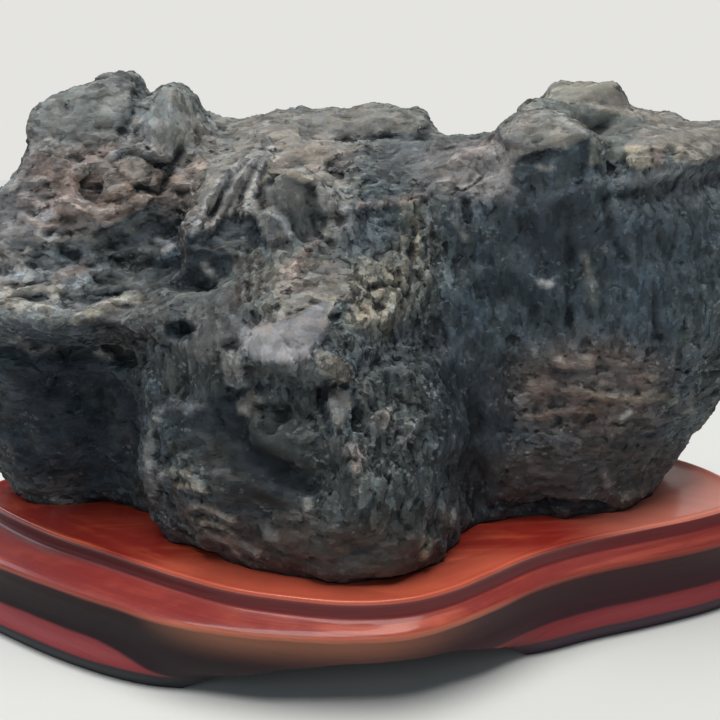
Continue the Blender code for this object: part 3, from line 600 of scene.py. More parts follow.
FACES = {
    "knob": Face(
        ((265, 178), (283, 176), (295, 180), (306, 180), (313, 184), (318, 194), (321, 205), (329, 222),
         (322, 233), (314, 239), (303, 242), (292, 230), (282, 216), (270, 210), (264, 212), (264, 194)),
        -2.6, Tint.KNOB, 1.0, 0.4,
    ),
    "knob's dark side": Face(
        ((306, 184), (316, 192), (320, 206), (327, 221), (318, 234), (306, 238), (300, 224), (306, 204)),
        -0.6, Tint.DARK_GREY, 0.6, 0.5, 4,
    ),
    "knob's ridge": Face(((284, 178), (296, 182), (304, 198), (298, 210), (288, 200), (280, 188)), 1.6, None),
    "rim of the knob": Face(
        ((318, 188), (324, 192), (330, 203), (330, 213), (323, 208), (318, 198)), 2.0, Tint.PALE
    ),
    "lump in the arc": Face(
        ((255, 218), (263, 213), (272, 214), (281, 219), (288, 227), (290, 237), (283, 246), (272, 250),
         (265, 242), (260, 230)),
        3.4, Tint.DULL, 1.0, 0.6,
    ),
    # painted shade in the hollow under the fan
    "hollow under the fan": Face(
        ((184, 234), (210, 232), (226, 213), (244, 209), (254, 216), (260, 230), (267, 244), (250, 247),
         (238, 238), (214, 246), (188, 246)),
        -2.4, Tint.SLATE, 0.85, 0.6,
    ),
    "brown strip": Face(
        ((258, 174), (264, 176), (265, 196), (263, 212), (257, 210), (257, 190)), -2.6, Tint.BROWN, 0.9
    ),
    "bright facet": Face(
        ((238, 330), (244, 327), (270, 323), (285, 321), (300, 314), (319, 302), (333, 299), (335, 309),
         (327, 326), (319, 340), (309, 354), (298, 359), (280, 361), (264, 362), (251, 356), (242, 347)),
        1.5, Tint.LILAC, 0.95, 0.35, 5,
    ),
    "upper facet": Face(
        ((272, 319), (286, 302), (300, 293), (314, 288), (345, 284), (352, 298), (335, 298), (319, 301),
         (300, 312), (285, 319)),
        0.8, Tint.WARM_GREY, 0.95, 0.5,
    ),
    # painted shade under the bright facet
    "under the facet": Face(
        ((243, 359), (262, 365), (298, 363), (312, 357), (318, 368), (316, 392), (296, 404), (270, 400),
         (256, 386), (246, 374)),
        -1.2, Tint.DARK_GREY, 0.9, 0.6,
    ),
    "fill under the facet": Face(
        ((250, 374), (320, 374), (328, 390), (316, 404), (264, 402), (246, 390)),
        3.6, Tint.DARK_GREY, 0.7, 0.9, 7,
    ),
    # painted shade in the cut under the fill
    "cut under the fill": Face(
        ((256, 404), (318, 408), (326, 436), (312, 456), (280, 450), (258, 432)),
        -5.0, Tint.DARK_SLATE, 0.9, 1.0, 12,
    ),
    "corner by the facet": Face(
        ((312, 352), (322, 351), (340, 358), (350, 371), (350, 384), (336, 384), (322, 373)),
        2.6, Tint.WARM_DARK, 0.9, 0.8,
    ),
    "cheek's pillar": Face(
        ((226, 356), (233, 350), (242, 356), (243, 368), (247, 385), (236, 390), (226, 384), (223, 368)),
        3.0, Tint.GREY, 0.9, 0.7,
    ),
    "cheek's block": Face(
        ((204, 323), (214, 314), (230, 316), (240, 324), (235, 340), (226, 346), (216, 361), (199, 361),
         (182, 346), (190, 338)),
        2.4, Tint.DULL, 0.95, 0.6,
    ),
    "cheek's blue top": Face(
        ((206, 300), (224, 288), (240, 296), (246, 310), (240, 322), (226, 313), (210, 318)),
        0.6, Tint.DULL, 0.8, 0.7,
    ),
    # painted shade in the notch
    "notch": Face(
        ((168, 324), (182, 320), (196, 326), (192, 338), (178, 340), (166, 334)), -6.0, Tint.BLUE_BLACK
    ),
    "cream ledge": Face(
        ((237, 400), (249, 392), (257, 395), (263, 401), (251, 408), (249, 415), (240, 413)),
        2.0, Tint.WARM_GREY, 0.7,
    ),
    "block by the cream ledge": Face(
        ((252, 410), (268, 405), (272, 419), (258, 424)), 0.6, Tint.DARK_GREY, 0.9, 0.6
    ),
    "long block": Face(
        ((328, 394), (337, 388), (349, 390), (350, 411), (342, 430), (335, 430), (330, 414)),
        3.6, Tint.MIDDLE_GREY, 1.0, 0.5,
    ),
    "blade by the long block": Face(
        ((350, 382), (356, 384), (364, 400), (364, 413), (357, 404), (350, 392)), 2.0, Tint.BLUE_GREY, 0.7,
    ),
    "heart block": Face(
        ((367, 424), (378, 412), (388, 409), (392, 418), (385, 431), (375, 438), (368, 431)),
        2.6, Tint.DULL, 0.9, 0.6,
    ),
    "pocket": Face(
        ((79, 182), (102, 185), (102, 193), (125, 195), (122, 201), (102, 206), (84, 199)),
        -4.2, Tint.RUST_DARK, 0.95, 0.7,
    ),
    "bright ridge": Face(
        ((88, 217), (102, 211), (125, 202), (138, 197), (151, 196), (140, 205), (127, 214), (108, 224),
         (89, 222)),
        3.0, Tint.PINK, 0.95, 0.7,
    ),
    "pink hump": Face(
        ((50, 201), (60, 192), (72, 188), (80, 198), (80, 210), (72, 212), (56, 209)),
        2.2, Tint.PINK, 0.7, 0.7,
    ),
    "lump under the arc": Face(
        ((114, 162), (124, 158), (140, 158), (149, 168), (148, 181), (136, 182), (126, 176)),
        2.4, Tint.WARM_GREY, 0.8, 0.6,
    ),
    # painted fill light: the pale tint lifts the shade of the dark hollow
    "dark hollow": Face(
        ((55, 252), (59, 243), (96, 234), (110, 227), (125, 215), (143, 205), (154, 204), (170, 222),
         (177, 234), (168, 240), (158, 247), (140, 248), (125, 247), (110, 251), (97, 248), (82, 256),
         (69, 260)),
        -0.5, Tint.HOLLOW, 0.95, 0.45,
    ),
    "dark of the ledge": Face(
        ((60, 292), (72, 290), (79, 300), (74, 310), (62, 308)), -1.6, Tint.DARK_GREY, 0.8
    ),
    "green of the ledge": Face(
        ((82, 284), (94, 274), (116, 272), (128, 280), (118, 292), (96, 296), (82, 294)),
        -1.2, Tint.MIDDLE_GREY, 0.8,
    ),
    "brow": Face(
        ((511, 120), (526, 111), (549, 112), (561, 115), (572, 125), (590, 135), (572, 144), (566, 149),
         (548, 147), (533, 150), (517, 158), (508, 147), (500, 138)),
        2.2, Tint.ASH_DARK, 0.95, 0.5,
    ),
    # painted shade under the brow
    "under the brow": Face(
        ((517, 160), (533, 152), (548, 149), (566, 151), (590, 138), (590, 178), (560, 196), (530, 196),
         (512, 182)),
        -1.6, Tint.SLATE, 0.85, 0.6,
    ),
    "peak's slab": Face(
        ((547, 97), (551, 90), (560, 84), (575, 82), (612, 80), (616, 86), (616, 98), (590, 102), (566, 101)),
        0.8, Tint.TAN_GREY, 0.95, 0.2,
    ),
    "peak's slope": Face(
        ((616, 88), (633, 98), (659, 112), (676, 113), (676, 124), (640, 116), (616, 111), (600, 108),
         (590, 103)),
        0.4, Tint.WARM_GREY, 0.95, 0.3,
    ),
    "peak's dark face": Face(
        ((550, 103), (572, 103), (592, 105), (602, 110), (616, 112), (638, 117), (650, 122), (641, 140),
         (625, 148), (622, 160), (592, 164), (592, 134), (573, 124), (562, 114)),
        1.4, Tint.DARK_GREEN, 0.95, 0.3,
    ),
    "top of the right block": Face(
        ((641, 130), (652, 120), (676, 117), (720, 124), (720, 150), (700, 150), (684, 147), (671, 146),
         (650, 147), (626, 148)),
        0.6, Tint.WARM_GREY, 0.9, 0.35,
    ),
    "cream block": Face(
        ((626, 150), (650, 149), (651, 166), (640, 168), (627, 165)), 3.4, Tint.CREAM_DARK, 1.0, 0.6
    ),
    "brown strip of the block": Face(
        ((652, 149), (663, 148), (664, 166), (653, 168)), 1.6, Tint.RUST_DARK, 0.8
    ),
    "pale strip of the block": Face(
        ((673, 147), (683, 147), (684, 159), (674, 161)), 2.4, Tint.CREAM_DARK, 0.9, 0.6
    ),
    "edge of the block": Face(
        ((685, 148), (720, 143), (720, 153), (702, 164), (684, 167)), 2.0, Tint.WARM_GREY, 0.8, 0.6,
    ),
}


def fan_strokes() -> dict[str, Stroke]:
    """Draws the fan of pale fibres that spreads from a shoulder down to the left, and its furrows.

    Returns:
        The fibres and the furrows between them by name, from the left one to the right one.
    """
    top, left, right = np.array(((274, 140), (192, 234), (252, 206)))
    bow, sway_reach, wave_reach = np.array(((-22, -17), (1.2, 5.0), (1.5, 1.0)))
    strokes = {}
    for number, share in enumerate(np.linspace(0, 1, 19)):
        sway = math.sin(2.4 * number)
        wave = math.cos(3.7 * number)
        end = left + (right - left) * share + sway_reach * sway
        bulge = (top + end) / 2 + bow * (1 - share) + wave_reach * wave
        steps = (0.04 + 0.1 * abs(sway), 0.3, 0.5, 0.75, 1.0)
        path = tuple(tuple(top * (1 - t) ** 2 + 2 * bulge * t * (1 - t) + end * t * t) for t in steps)
        furrow = number % 2 == 1
        reach, rise, tint = (2.4, -2.0, Tint.DULL) if furrow else (3.4, 2.2, Tint.PALE)
        strokes[f"fibre {number} of the fan"] = Stroke(path, reach, rise, tint, 0.8)
    return strokes


RELIEFS = (*FACES.values(), *fan_strokes().values(), *STROKES.values())


class Sculpture:
    """A mesh read into arrays, to be worked in millimetres and written back."""

    def __init__(self, piece: bpy.types.Object) -> None:
        """Reads the piece's mesh.

        Args:
            piece: The object whose mesh is worked.
        """
        self.piece = piece
        mesh = piece.data
        self.points = np.empty(len(mesh.vertices) * 3)
        mesh.vertices.foreach_get("co", self.points)
        self.points = self.points.reshape(-1, 3) / MM
        ends = np.empty(len(mesh.edges) * 2, np.int64)
        mesh.edges.foreach_get("vertices", ends)
        self.ends = ends.reshape(-1, 2)
        self.valence = np.bincount(self.ends.ravel(), minlength=len(self.points)).astype(float)

    def normals(self) -> np.ndarray:
        """Writes the points back and reads how the surface lies.

        Returns:
            The unit normal of each point as the mesh stands now.
        """
        self.write()
        found = np.empty(len(self.points) * 3)
        self.piece.data.vertices.foreach_get("normal", found)
        return found.reshape(-1, 3)

    def write(self) -> None:
        """Puts the points back into the mesh."""
        self.piece.data.vertices.foreach_set("co", (self.points * MM).ravel())
        self.piece.data.update()

    def relaxed(self, values: np.ndarray, times: int) -> np.ndarray:
        """Evens out values over the surface.

        Args:
            values: One row for each point.
            times: How often each point takes half of its neighbours' mean.

        Returns:
            The evened values.
        """
        found = values.copy()
        start, end = self.ends.T
        for _ in range(times):
            total = np.empty_like(found)
            for axis in range(found.shape[1]):
                total[:, axis] = np.bincount(start, found[end, axis], len(found))
                total[:, axis] += np.bincount(end, found[start, axis], len(found))
            found = (found + total / self.valence[:, None]) / 2
        return found

    def relief(self, times: int) -> np.ndarray:
        """Returns how far each point stands out from the surface evened so many times, in millimetres."""
        away = self.points - self.relaxed(self.points, times)
        return (away * self.normals()).sum(axis=1)

    def keep(self, name: str, values: np.ndarray) -> None:
        """Stores numbers or colours on the mesh for the material to read.

        Args:
            name: The attribute's name.
            values: One number, or one red, green and blue, for each point.
        """
        if values.ndim == 1:
            stored = self.piece.data.attributes.new(name, "FLOAT", "POINT")
            stored.data.foreach_set("value", values.astype(np.float32))
            return
        stored = self.piece.data.attributes.new(name, "FLOAT_COLOR", "POINT")
        whole = np.concatenate((values, np.ones((len(values), 1))), axis=1)
        stored.data.foreach_set("color", whole.astype(np.float32).ravel())


def only(piece: bpy.types.Object) -> bpy.types.Object:
    """Makes the piece the one selected and active object.

    Args:
        piece: The object.

    Returns:
        The same object.
    """
    bpy.ops.object.select_all(action="DESELECT")
    piece.select_set(True)
    bpy.context.view_layer.objects.active = piece
    return piece


def apply_modifier(piece: bpy.types.Object, kind: str, **settings: Any) -> None:
    """Adds a modifier to the piece and applies it.

    Args:
        piece: The object to change.
        kind: The modifier's type.
        settings: Its settings by name.
    """
    only(piece)
    modifier = piece.modifiers.new(kind.title(), kind)
    for name, value in settings.items():
        setattr(modifier, name, value)
    bpy.ops.object.modifier_apply(modifier=modifier.name)


def mesh_copy(node: str, name: str) -> bpy.types.Object:
    """Copies a node's solid into a new object whose triangles are joined up.

    Args:
        node: The node to copy.
        name: The new object's name.

    Returns:
        The new object.
    """
    made = bpy.data.objects.new(name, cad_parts[node].data.copy())
    made.data.materials.clear()
    bpy.context.scene.collection.objects.link(made)
    only(made)
    bpy.ops.object.mode_set(mode="EDIT")
    bpy.ops.mesh.select_all(action="SELECT")
    bpy.ops.mesh.remove_doubles(threshold=0.01 * MM)
    bpy.ops.mesh.normals_make_consistent(inside=False)
    bpy.ops.object.mode_set(mode="OBJECT")
    return made


@dataclass
class ScholarsRock:
    """The stone: one piece, worked finer from its own solid.

    Lengths and rises are in millimetres. A layer of noise is its seed, its length and its rise or reach.
    A layer of flakes has its share of the tones as well. The stains are the broad, the warm, the mottled
    and the rusty patches, each with its seed and length. Each of the standings is how often the surface is
    evened, the height that counts as a whole crest, and its share.
    """

    node: str = "scholars_rock"
    slot: str = "dark_stone"
    first_voxel: float = 1.5
    voxel: float = 1.05
    triangles: int = 196_000
    shading_deg: float = 30.0
    stroke_gain: float = 0.85
    stroke_swing: Layer = (62, 7.0, 0.6)
    frays: tuple[Layer, ...] = ((63, 13.0, 2.6), (65, 5.0, 1.4))
    seat_top: float = 37.0
    seat_fade: float = 9.0
    warp_length: float = 38.0
    warp_reach: float = 5.0
    fine_warp_length: float = 6.0
    fine_warp_reach: float = 1.1
    first_patch_seed: int = 40
    patch_length: float = 62.0
    zone_grain: float = 3.0
    stretch: float = 2.0
    crags: Layer = (4, 17.0, 0.8)
    fibres: tuple[Layer, ...] = ((10, 8.0, 0.6), (11, 4.2, 0.4), (12, 2.6, 0.2))
    flakes: tuple[tuple[int, float, float, float], ...] = (
        (20, 7.0, 0.85, 0.35), (21, 3.9, 0.6, 0.4), (22, 2.4, 0.35, 0.25),
    )
    roughness_swing: Layer = (30, 45.0, 0.35)
    roughness_span: Span = (0.1, 1.5)
    stains: tuple[tuple[int, float], ...] = ((50, 55.0), (51, 48.0), (52, 13.0), (53, 34.0))
    tone_gain: float = 0.5
    warm_flake: Colour = (0.1, 0.0, -0.12)
    standings: tuple[Layer, ...] = ((5, 0.35, 0.3), (24, 1.1, 0.4), (80, 2.4, 0.3))

    def build(self) -> bpy.types.Object:
        """Makes the stone and dresses it.

        Returns:
            The finished piece.
        """
        piece = self.rough_out()
        self.align(Sculpture(piece))
        self.press(Sculpture(piece))
        apply_modifier(piece, "REMESH", mode="VOXEL", voxel_size=self.voxel * MM)
        work = Sculpture(piece)
        grains = self.grain_shares(work)
        tones = self.weather(work, grains)
        rough = self.roughness(work)
        # The stored colour holds stains and flake tones together with painted light and painted shade; relief
        # lets the material paint shade into hollows and dust and highlights onto crests.
        work.keep("stain_and_shading", self.stain_and_shading(work) * self.flake_tints(tones * rough[:, None]))
        work.keep("relief", self.hollows(work))
        work.keep("rough", rough)
        work.keep("upright", grains[Grain.UPRIGHT])
        self.thin_out(piece)
        piece.data.materials.append(StoneFinish().material())
        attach(piece, "root")
        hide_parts(self.node)
        return piece

    def rough_out(self) -> bpy.types.Object:
        """Copies the stone's solid and makes it smooth and dense.

        Returns:
            The new piece.
        """
        piece = mesh_copy(self.node, "worked_stone")
        apply_modifier(piece, "SUBSURF", levels=1, render_levels=1)
        apply_modifier(piece, "REMESH", mode="VOXEL", voxel_size=self.first_voxel * MM)
        apply_modifier(piece, "SMOOTH", iterations=3, factor=0.5)
        return piece

    def align(self, work: Sculpture) -> None:
        """Shifts parts of the skyline by a few millimetres, to where the photograph has them.

        Args:
            work: The stone's mesh.
        """
        spots = VIEW.pixels(work.points)
        size = VIEW.pixel_size(work.points)
        right, up, _ = VIEW.axes()
        for nudge in NUDGES.values():
            away = (spots - np.array(nudge.centre)) / np.array(nudge.reach)
            share = np.exp(-((away * away).sum(axis=1) ** 1.5)) * size
            work.points += np.outer(share * nudge.shift[0], right) - np.outer(share * nudge.shift[1], up)
        work.write()

    def press(self, work: Sculpture) -> None:
        """Presses the ridges and hollows of the photographed side into the stone.

        Args:
            work: The stone's mesh.
        """
        normals = work.relaxed(work.normals(), 6)
        normals /= np.linalg.norm(normals, axis=1, keepdims=True)
        spots = VIEW.pixels(work.points)
        felt = VIEW.felt(work.points, normals) * self.above_seat(work)
        spots = self.ragged(work, spots)
        rise = np.zeros(len(work.points))
        seen = np.flatnonzero(felt > 0)
        for mark in RELIEFS:
            rise[seen] += mark.rise * mark.weight(spots[seen])
        seed, length, swing = self.stroke_swing
        uneven = self.stroke_gain * (1 + swing * self.waves(work, seed, length))
        work.points += normals * (rise * felt * uneven)[:, None]
        work.write()

    def ragged(self, work: Sculpture, spots: np.ndarray) -> np.ndarray:
        """Shifts spots to and fro, so that strokes and zones get ragged edges.

        Args:
            work: The stone's mesh.
            spots: Where its points fall in the photograph.

        Returns:
            The shifted spots.
        """
        for seed, length, reach in self.frays:
            shift = [self.waves(work, seed + axis, length) for axis in (0, 1)]
            spots = spots + reach * np.stack(shift, axis=1)
        return spots

    def waves(self, work: Sculpture, seed: int, length: float) -> np.ndarray:
        """Returns smooth noise over the stone, whose waves have a length in millimetres."""
        return Rumple(seed).at(work.points / length)

    def above_seat(self, work: Sculpture) -> np.ndarray:
        """Returns how free each point is to move, from 0 in the seat to 1 well above it."""
        return eased((work.points[:, 2] - self.seat_top) / self.seat_fade)

    def grain_shares(self, work: Sculpture) -> dict[Grain, np.ndarray]:
        """Works out which way the fibres run at each point.

        Args:
            work: The stone's mesh.

        Returns:
            For each grain its share at each point; the shares add up to 1.
        """
        spots = VIEW.pixels(work.points)
        felt = VIEW.felt(work.points, work.normals())
        shares = {}
        for seed, grain in enumerate(Grain, self.first_patch_seed):
            patches = self.waves(work, seed, self.patch_length)
            shares[grain] = 0.04 + 0.5 * eased(0.3 + patches)
        for zone in ZONES.values():
            if zone.grain is not None:
                shares[zone.grain] = shares[zone.grain] + self.zone_grain * felt * zone.weight(spots)
        whole = sum(shares.values())
        return {grain: share / whole for grain, share in shares.items()}

    def weather(self, work: Sculpture, grains: dict[Grain, np.ndarray]) -> np.ndarray:
        """Roughens the stone with crags, fibres along its grain and flakes.

        Args:
            work: The stone's mesh.
            grains: The share of each grain at each point.

        Returns:
            How pale and how warm the flakes are at each point, each from -1 to 1.
        """
        free = self.above_seat(work) * self.roughness(work)
        bend = np.stack([self.waves(work, seed, self.warp_length) for seed in (1, 2, 3)], axis=1)
        fine_bend = np.stack([self.waves(work, seed, self.fine_warp_length) for seed in (5, 6, 7)], axis=1)
        places = work.points + self.warp_reach * bend
        seed, length, rise = self.crags
        height = rise * ridged(Rumple(seed).at(places / length))
        pulled = np.zeros_like(places)
        strongest = np.argmax([*grains.values()], axis=0)
        for number, (grain, share) in enumerate(grains.items()):
            along = np.array(grain.value) / np.linalg.norm(grain.value)
            squeezed = places - np.outer(places @ along, along) * (1 - 1 / self.stretch)
            pulled[strongest == number] = squeezed[strongest == number]
            for seed, length, rise in self.fibres:
                height += share * rise * ridged(Rumple(seed).at(squeezed / length))
        work.points += work.normals() * (height * free)[:, None]
        ragged = pulled + self.fine_warp_reach * fine_bend
        height = np.zeros(len(places))
        tones = np.zeros((len(places), 2))
        for seed, width, rise, weight in self.flakes:
            face, tone = Rumple(seed).flakes(ragged / width)
            height += rise * face
            tones += weight * tone
        work.points += work.normals() * (height * free)[:, None]
        work.write()
        return tones

    def flake_tints(self, tones: np.ndarray) -> np.ndarray:
        """Works out what each point's colour is multiplied by for the flake that it lies on.

        Args:
            tones: How pale and how warm the flakes are, from -1 to 1.

        Returns:
            One red, green and blue factor a row.
        """
        pale, warm = tones.T
        lightness = np.exp(self.tone_gain * pale)
        return lightness[:, None] * np.exp(np.outer(warm, self.warm_flake))

    def roughness(self, work: Sculpture) -> np.ndarray:
        """Works out how strongly the weather has marked the stone.

        Args:
            work: The stone's mesh.

        Returns:
            A strength for each point, about 1 on the whole.
        """
        spots = VIEW.pixels(work.points)
        felt = VIEW.felt(work.points, work.normals())
        seed, length, swing = self.roughness_swing
        rough = 1 + swing * self.waves(work, seed, length)
        for mark in (*ZONES.values(), *FACES.values()):
            if mark.rough != 1:
                share = mark.weight(spots) * felt
                rough = rough * (1 - share) + mark.rough * share
        return np.clip(rough, *self.roughness_span)

    def stain_and_shading(self, work: Sculpture) -> np.ndarray:
        """Colours the stone: broad patches all round, paler on up-facing surfaces as dust and painted light
        from overhead, then the marks of the photographed side, whose dark tints in hollows are painted shade.

        Args:
            work: The stone's mesh, with its final shape.

        Returns:
            The linear colour of each point.
        """
        spots = self.ragged(work, VIEW.pixels(work.points))
        felt = VIEW.felt(work.points, work.relaxed(work.normals(), 4), gain=1.6)
        broad, warm, mottle, rusty = (self.waves(work, *patches) for patches in self.stains)
        colours = np.tile(np.array(Tint.SLATE.value), (len(spots), 1))
        # Dust and painted light from overhead: up-facing surfaces go paler.
        upward_dust_and_light = eased((work.normals()[:, 2] - 0.25) / 0.6)
        colours = tinted(colours, Tint.GREEN_GREY, 0.25 + 0.55 * upward_dust_and_light + 0.5 * broad)
        colours = tinted(colours, Tint.BROWN, 0.9 * (warm - 0.08))
        colours = tinted(colours, Tint.RUST, 0.9 * (rusty - 0.3))
        colours = tinted(colours, Tint.BLUE_BLACK, 0.9 * (-broad - 0.1))
        seen = np.flatnonzero(felt > 0)
        uneven = (felt * (1 + 0.5 * mottle))[seen]
        # The marks' tints: the dark ones in hollows, creases and undercuts are painted shade, and the pale
        # one in the dark hollow and under the right block is painted fill light.
        for mark in (*ZONES.values(), *RELIEFS):
            if mark.tint is not None:
                evenness = 1.0 if isinstance(mark, Face) else uneven
                weight = np.minimum(1.5 * mark.weight(spots[seen]), 1)
                colours[seen] = tinted(colours[seen], mark.tint, evenness * mark.strength * weight)
        return colours

    def hollows(self, work: Sculpture) -> np.ndarray:
        """Finds how far each point stands out from the stone round it.

        Args:
            work: The stone's mesh, with its final shape.

        Returns:
            From -1 deep in a hollow to 1 on a crest for each point.
        """
        standing = np.zeros(len(work.points))
        for times, whole, share in self.standings:
            standing += share * np.clip(work.relief(times) / whole, -1, 1)
        return standing

    def thin_out(self, piece: bpy.types.Object) -> None:
        """Takes away the triangles that the shape doesn't need, and shades it.

        Args:
            piece: The stone.
        """
        apply_modifier(piece, "TRIANGULATE")
        count = len(piece.data.polygons)
        work = Sculpture(piece)
        seen = np.clip(0.8 + VIEW.facing(work.points, work.relaxed(work.normals(), 10)), 0.5, 1)
        group = piece.vertex_groups.new(name="spare")
        for level in range(1, 11):
            chosen = np.flatnonzero(np.ceil(seen * 10) == level)
            group.add(chosen.tolist(), 1.02 - level / 10, "REPLACE")
        apply_modifier(
            piece, "DECIMATE", ratio=self.triangles / count, vertex_group=group.name, vertex_group_factor=0.02
        )
        piece.vertex_groups.clear()
        bpy.ops.object.shade_smooth_by_angle(angle=math.radians(self.shading_deg))
        log.info("%s: %d triangles", piece.name, len(piece.data.polygons))


def tinted(colours: np.ndarray, tint: Tint, share: np.ndarray) -> np.ndarray:
    """Moves colours towards a tint.

    Args:
        colours: One linear colour a row.
        tint: Where they move to.
        share: How far each moves, from 0 to 1; it is held to that range.

    Returns:
        The new colours.
    """
    held = np.clip(share, 0, 1)[:, None]
    return colours * (1 - held) + np.array(tint.value) * held


class Signal:
    """A number, colour or vector on its way through a material's nodes."""

    def __init__(self, tree: bpy.types.NodeTree, socket: bpy.types.NodeSocket) -> None:
        """Wraps an output socket.

        Args:
            tree: The material's nodes.
            socket: The output that carries the signal.
        """
        self.tree = tree
        self.socket = socket

    def maths(self, operation: str, *terms: "Signal | float", clamp: bool = False) -> "Signal":
        """Adds a Math node.

        Args:
            operation: What it does.
            terms: Its inputs in order.
            clamp: Whether the result is held between 0 and 1.

        Returns:
            The result.
        """
        made = self.tree.nodes.new("ShaderNodeMath")
        made.operation = operation
        made.use_clamp = clamp
        for socket, term in zip(made.inputs, terms):
            if isinstance(term, Signal):
                self.tree.links.new(term.socket, socket)
            else:
                socket.default_value = term
        return Signal(self.tree, made.outputs[0])

    def __add__(self, other: "Signal | float") -> "Signal":
        """Adds a number or signal."""
        return self.maths("ADD", self, other)

    __radd__ = __add__

    def __sub__(self, other: "Signal | float") -> "Signal":
        """Takes a number or signal away."""
        return self.maths("SUBTRACT", self, other)

    def __rsub__(self, other: float) -> "Signal":
        """Takes the signal away from a number."""
        return self.maths("SUBTRACT", other, self)

    def __mul__(self, other: "Signal | float") -> "Signal":
        """Multiplies by a number or signal."""
        return self.maths("MULTIPLY", self, other)

    __rmul__ = __mul__

    def __truediv__(self, other: "Signal | float") -> "Signal":
        """Divides by a number or signal."""
        return self.maths("DIVIDE", self, other)

    def __pow__(self, other: float) -> "Signal":
        """Raises to a power."""
        return self.maths("POWER", self, other)

    def beside(self, output: Any) -> "Signal":
        """Returns another output of the node that the signal comes from."""
        return Signal(self.tree, self.socket.node.outputs[output])

    def held(self) -> "Signal":
        """Returns the signal held between 0 and 1."""
        return self.maths("ADD", self, 0.0, clamp=True)

    def blend(self, low: "Signal", high: "Signal") -> "Signal":
        """Returns the low signal where this one is 0, and the high one where it is 1."""
        return low * (1 - self) + high * self

    def step(self, low: float, high: float) -> "Signal":
        """Makes a smooth step.

        Args:
            low: Where it leaves 0.
            high: Where it reaches 1.

        Returns:
            The step, from 0 to 1.
        """
        made = self.tree.nodes.new("ShaderNodeMapRange")
        made.interpolation_type = "SMOOTHSTEP"
        self.tree.links.new(self.socket, made.inputs["Value"])
        made.inputs["From Min"].default_value = low
        made.inputs["From Max"].default_value = high
        return Signal(self.tree, made.outputs[0])


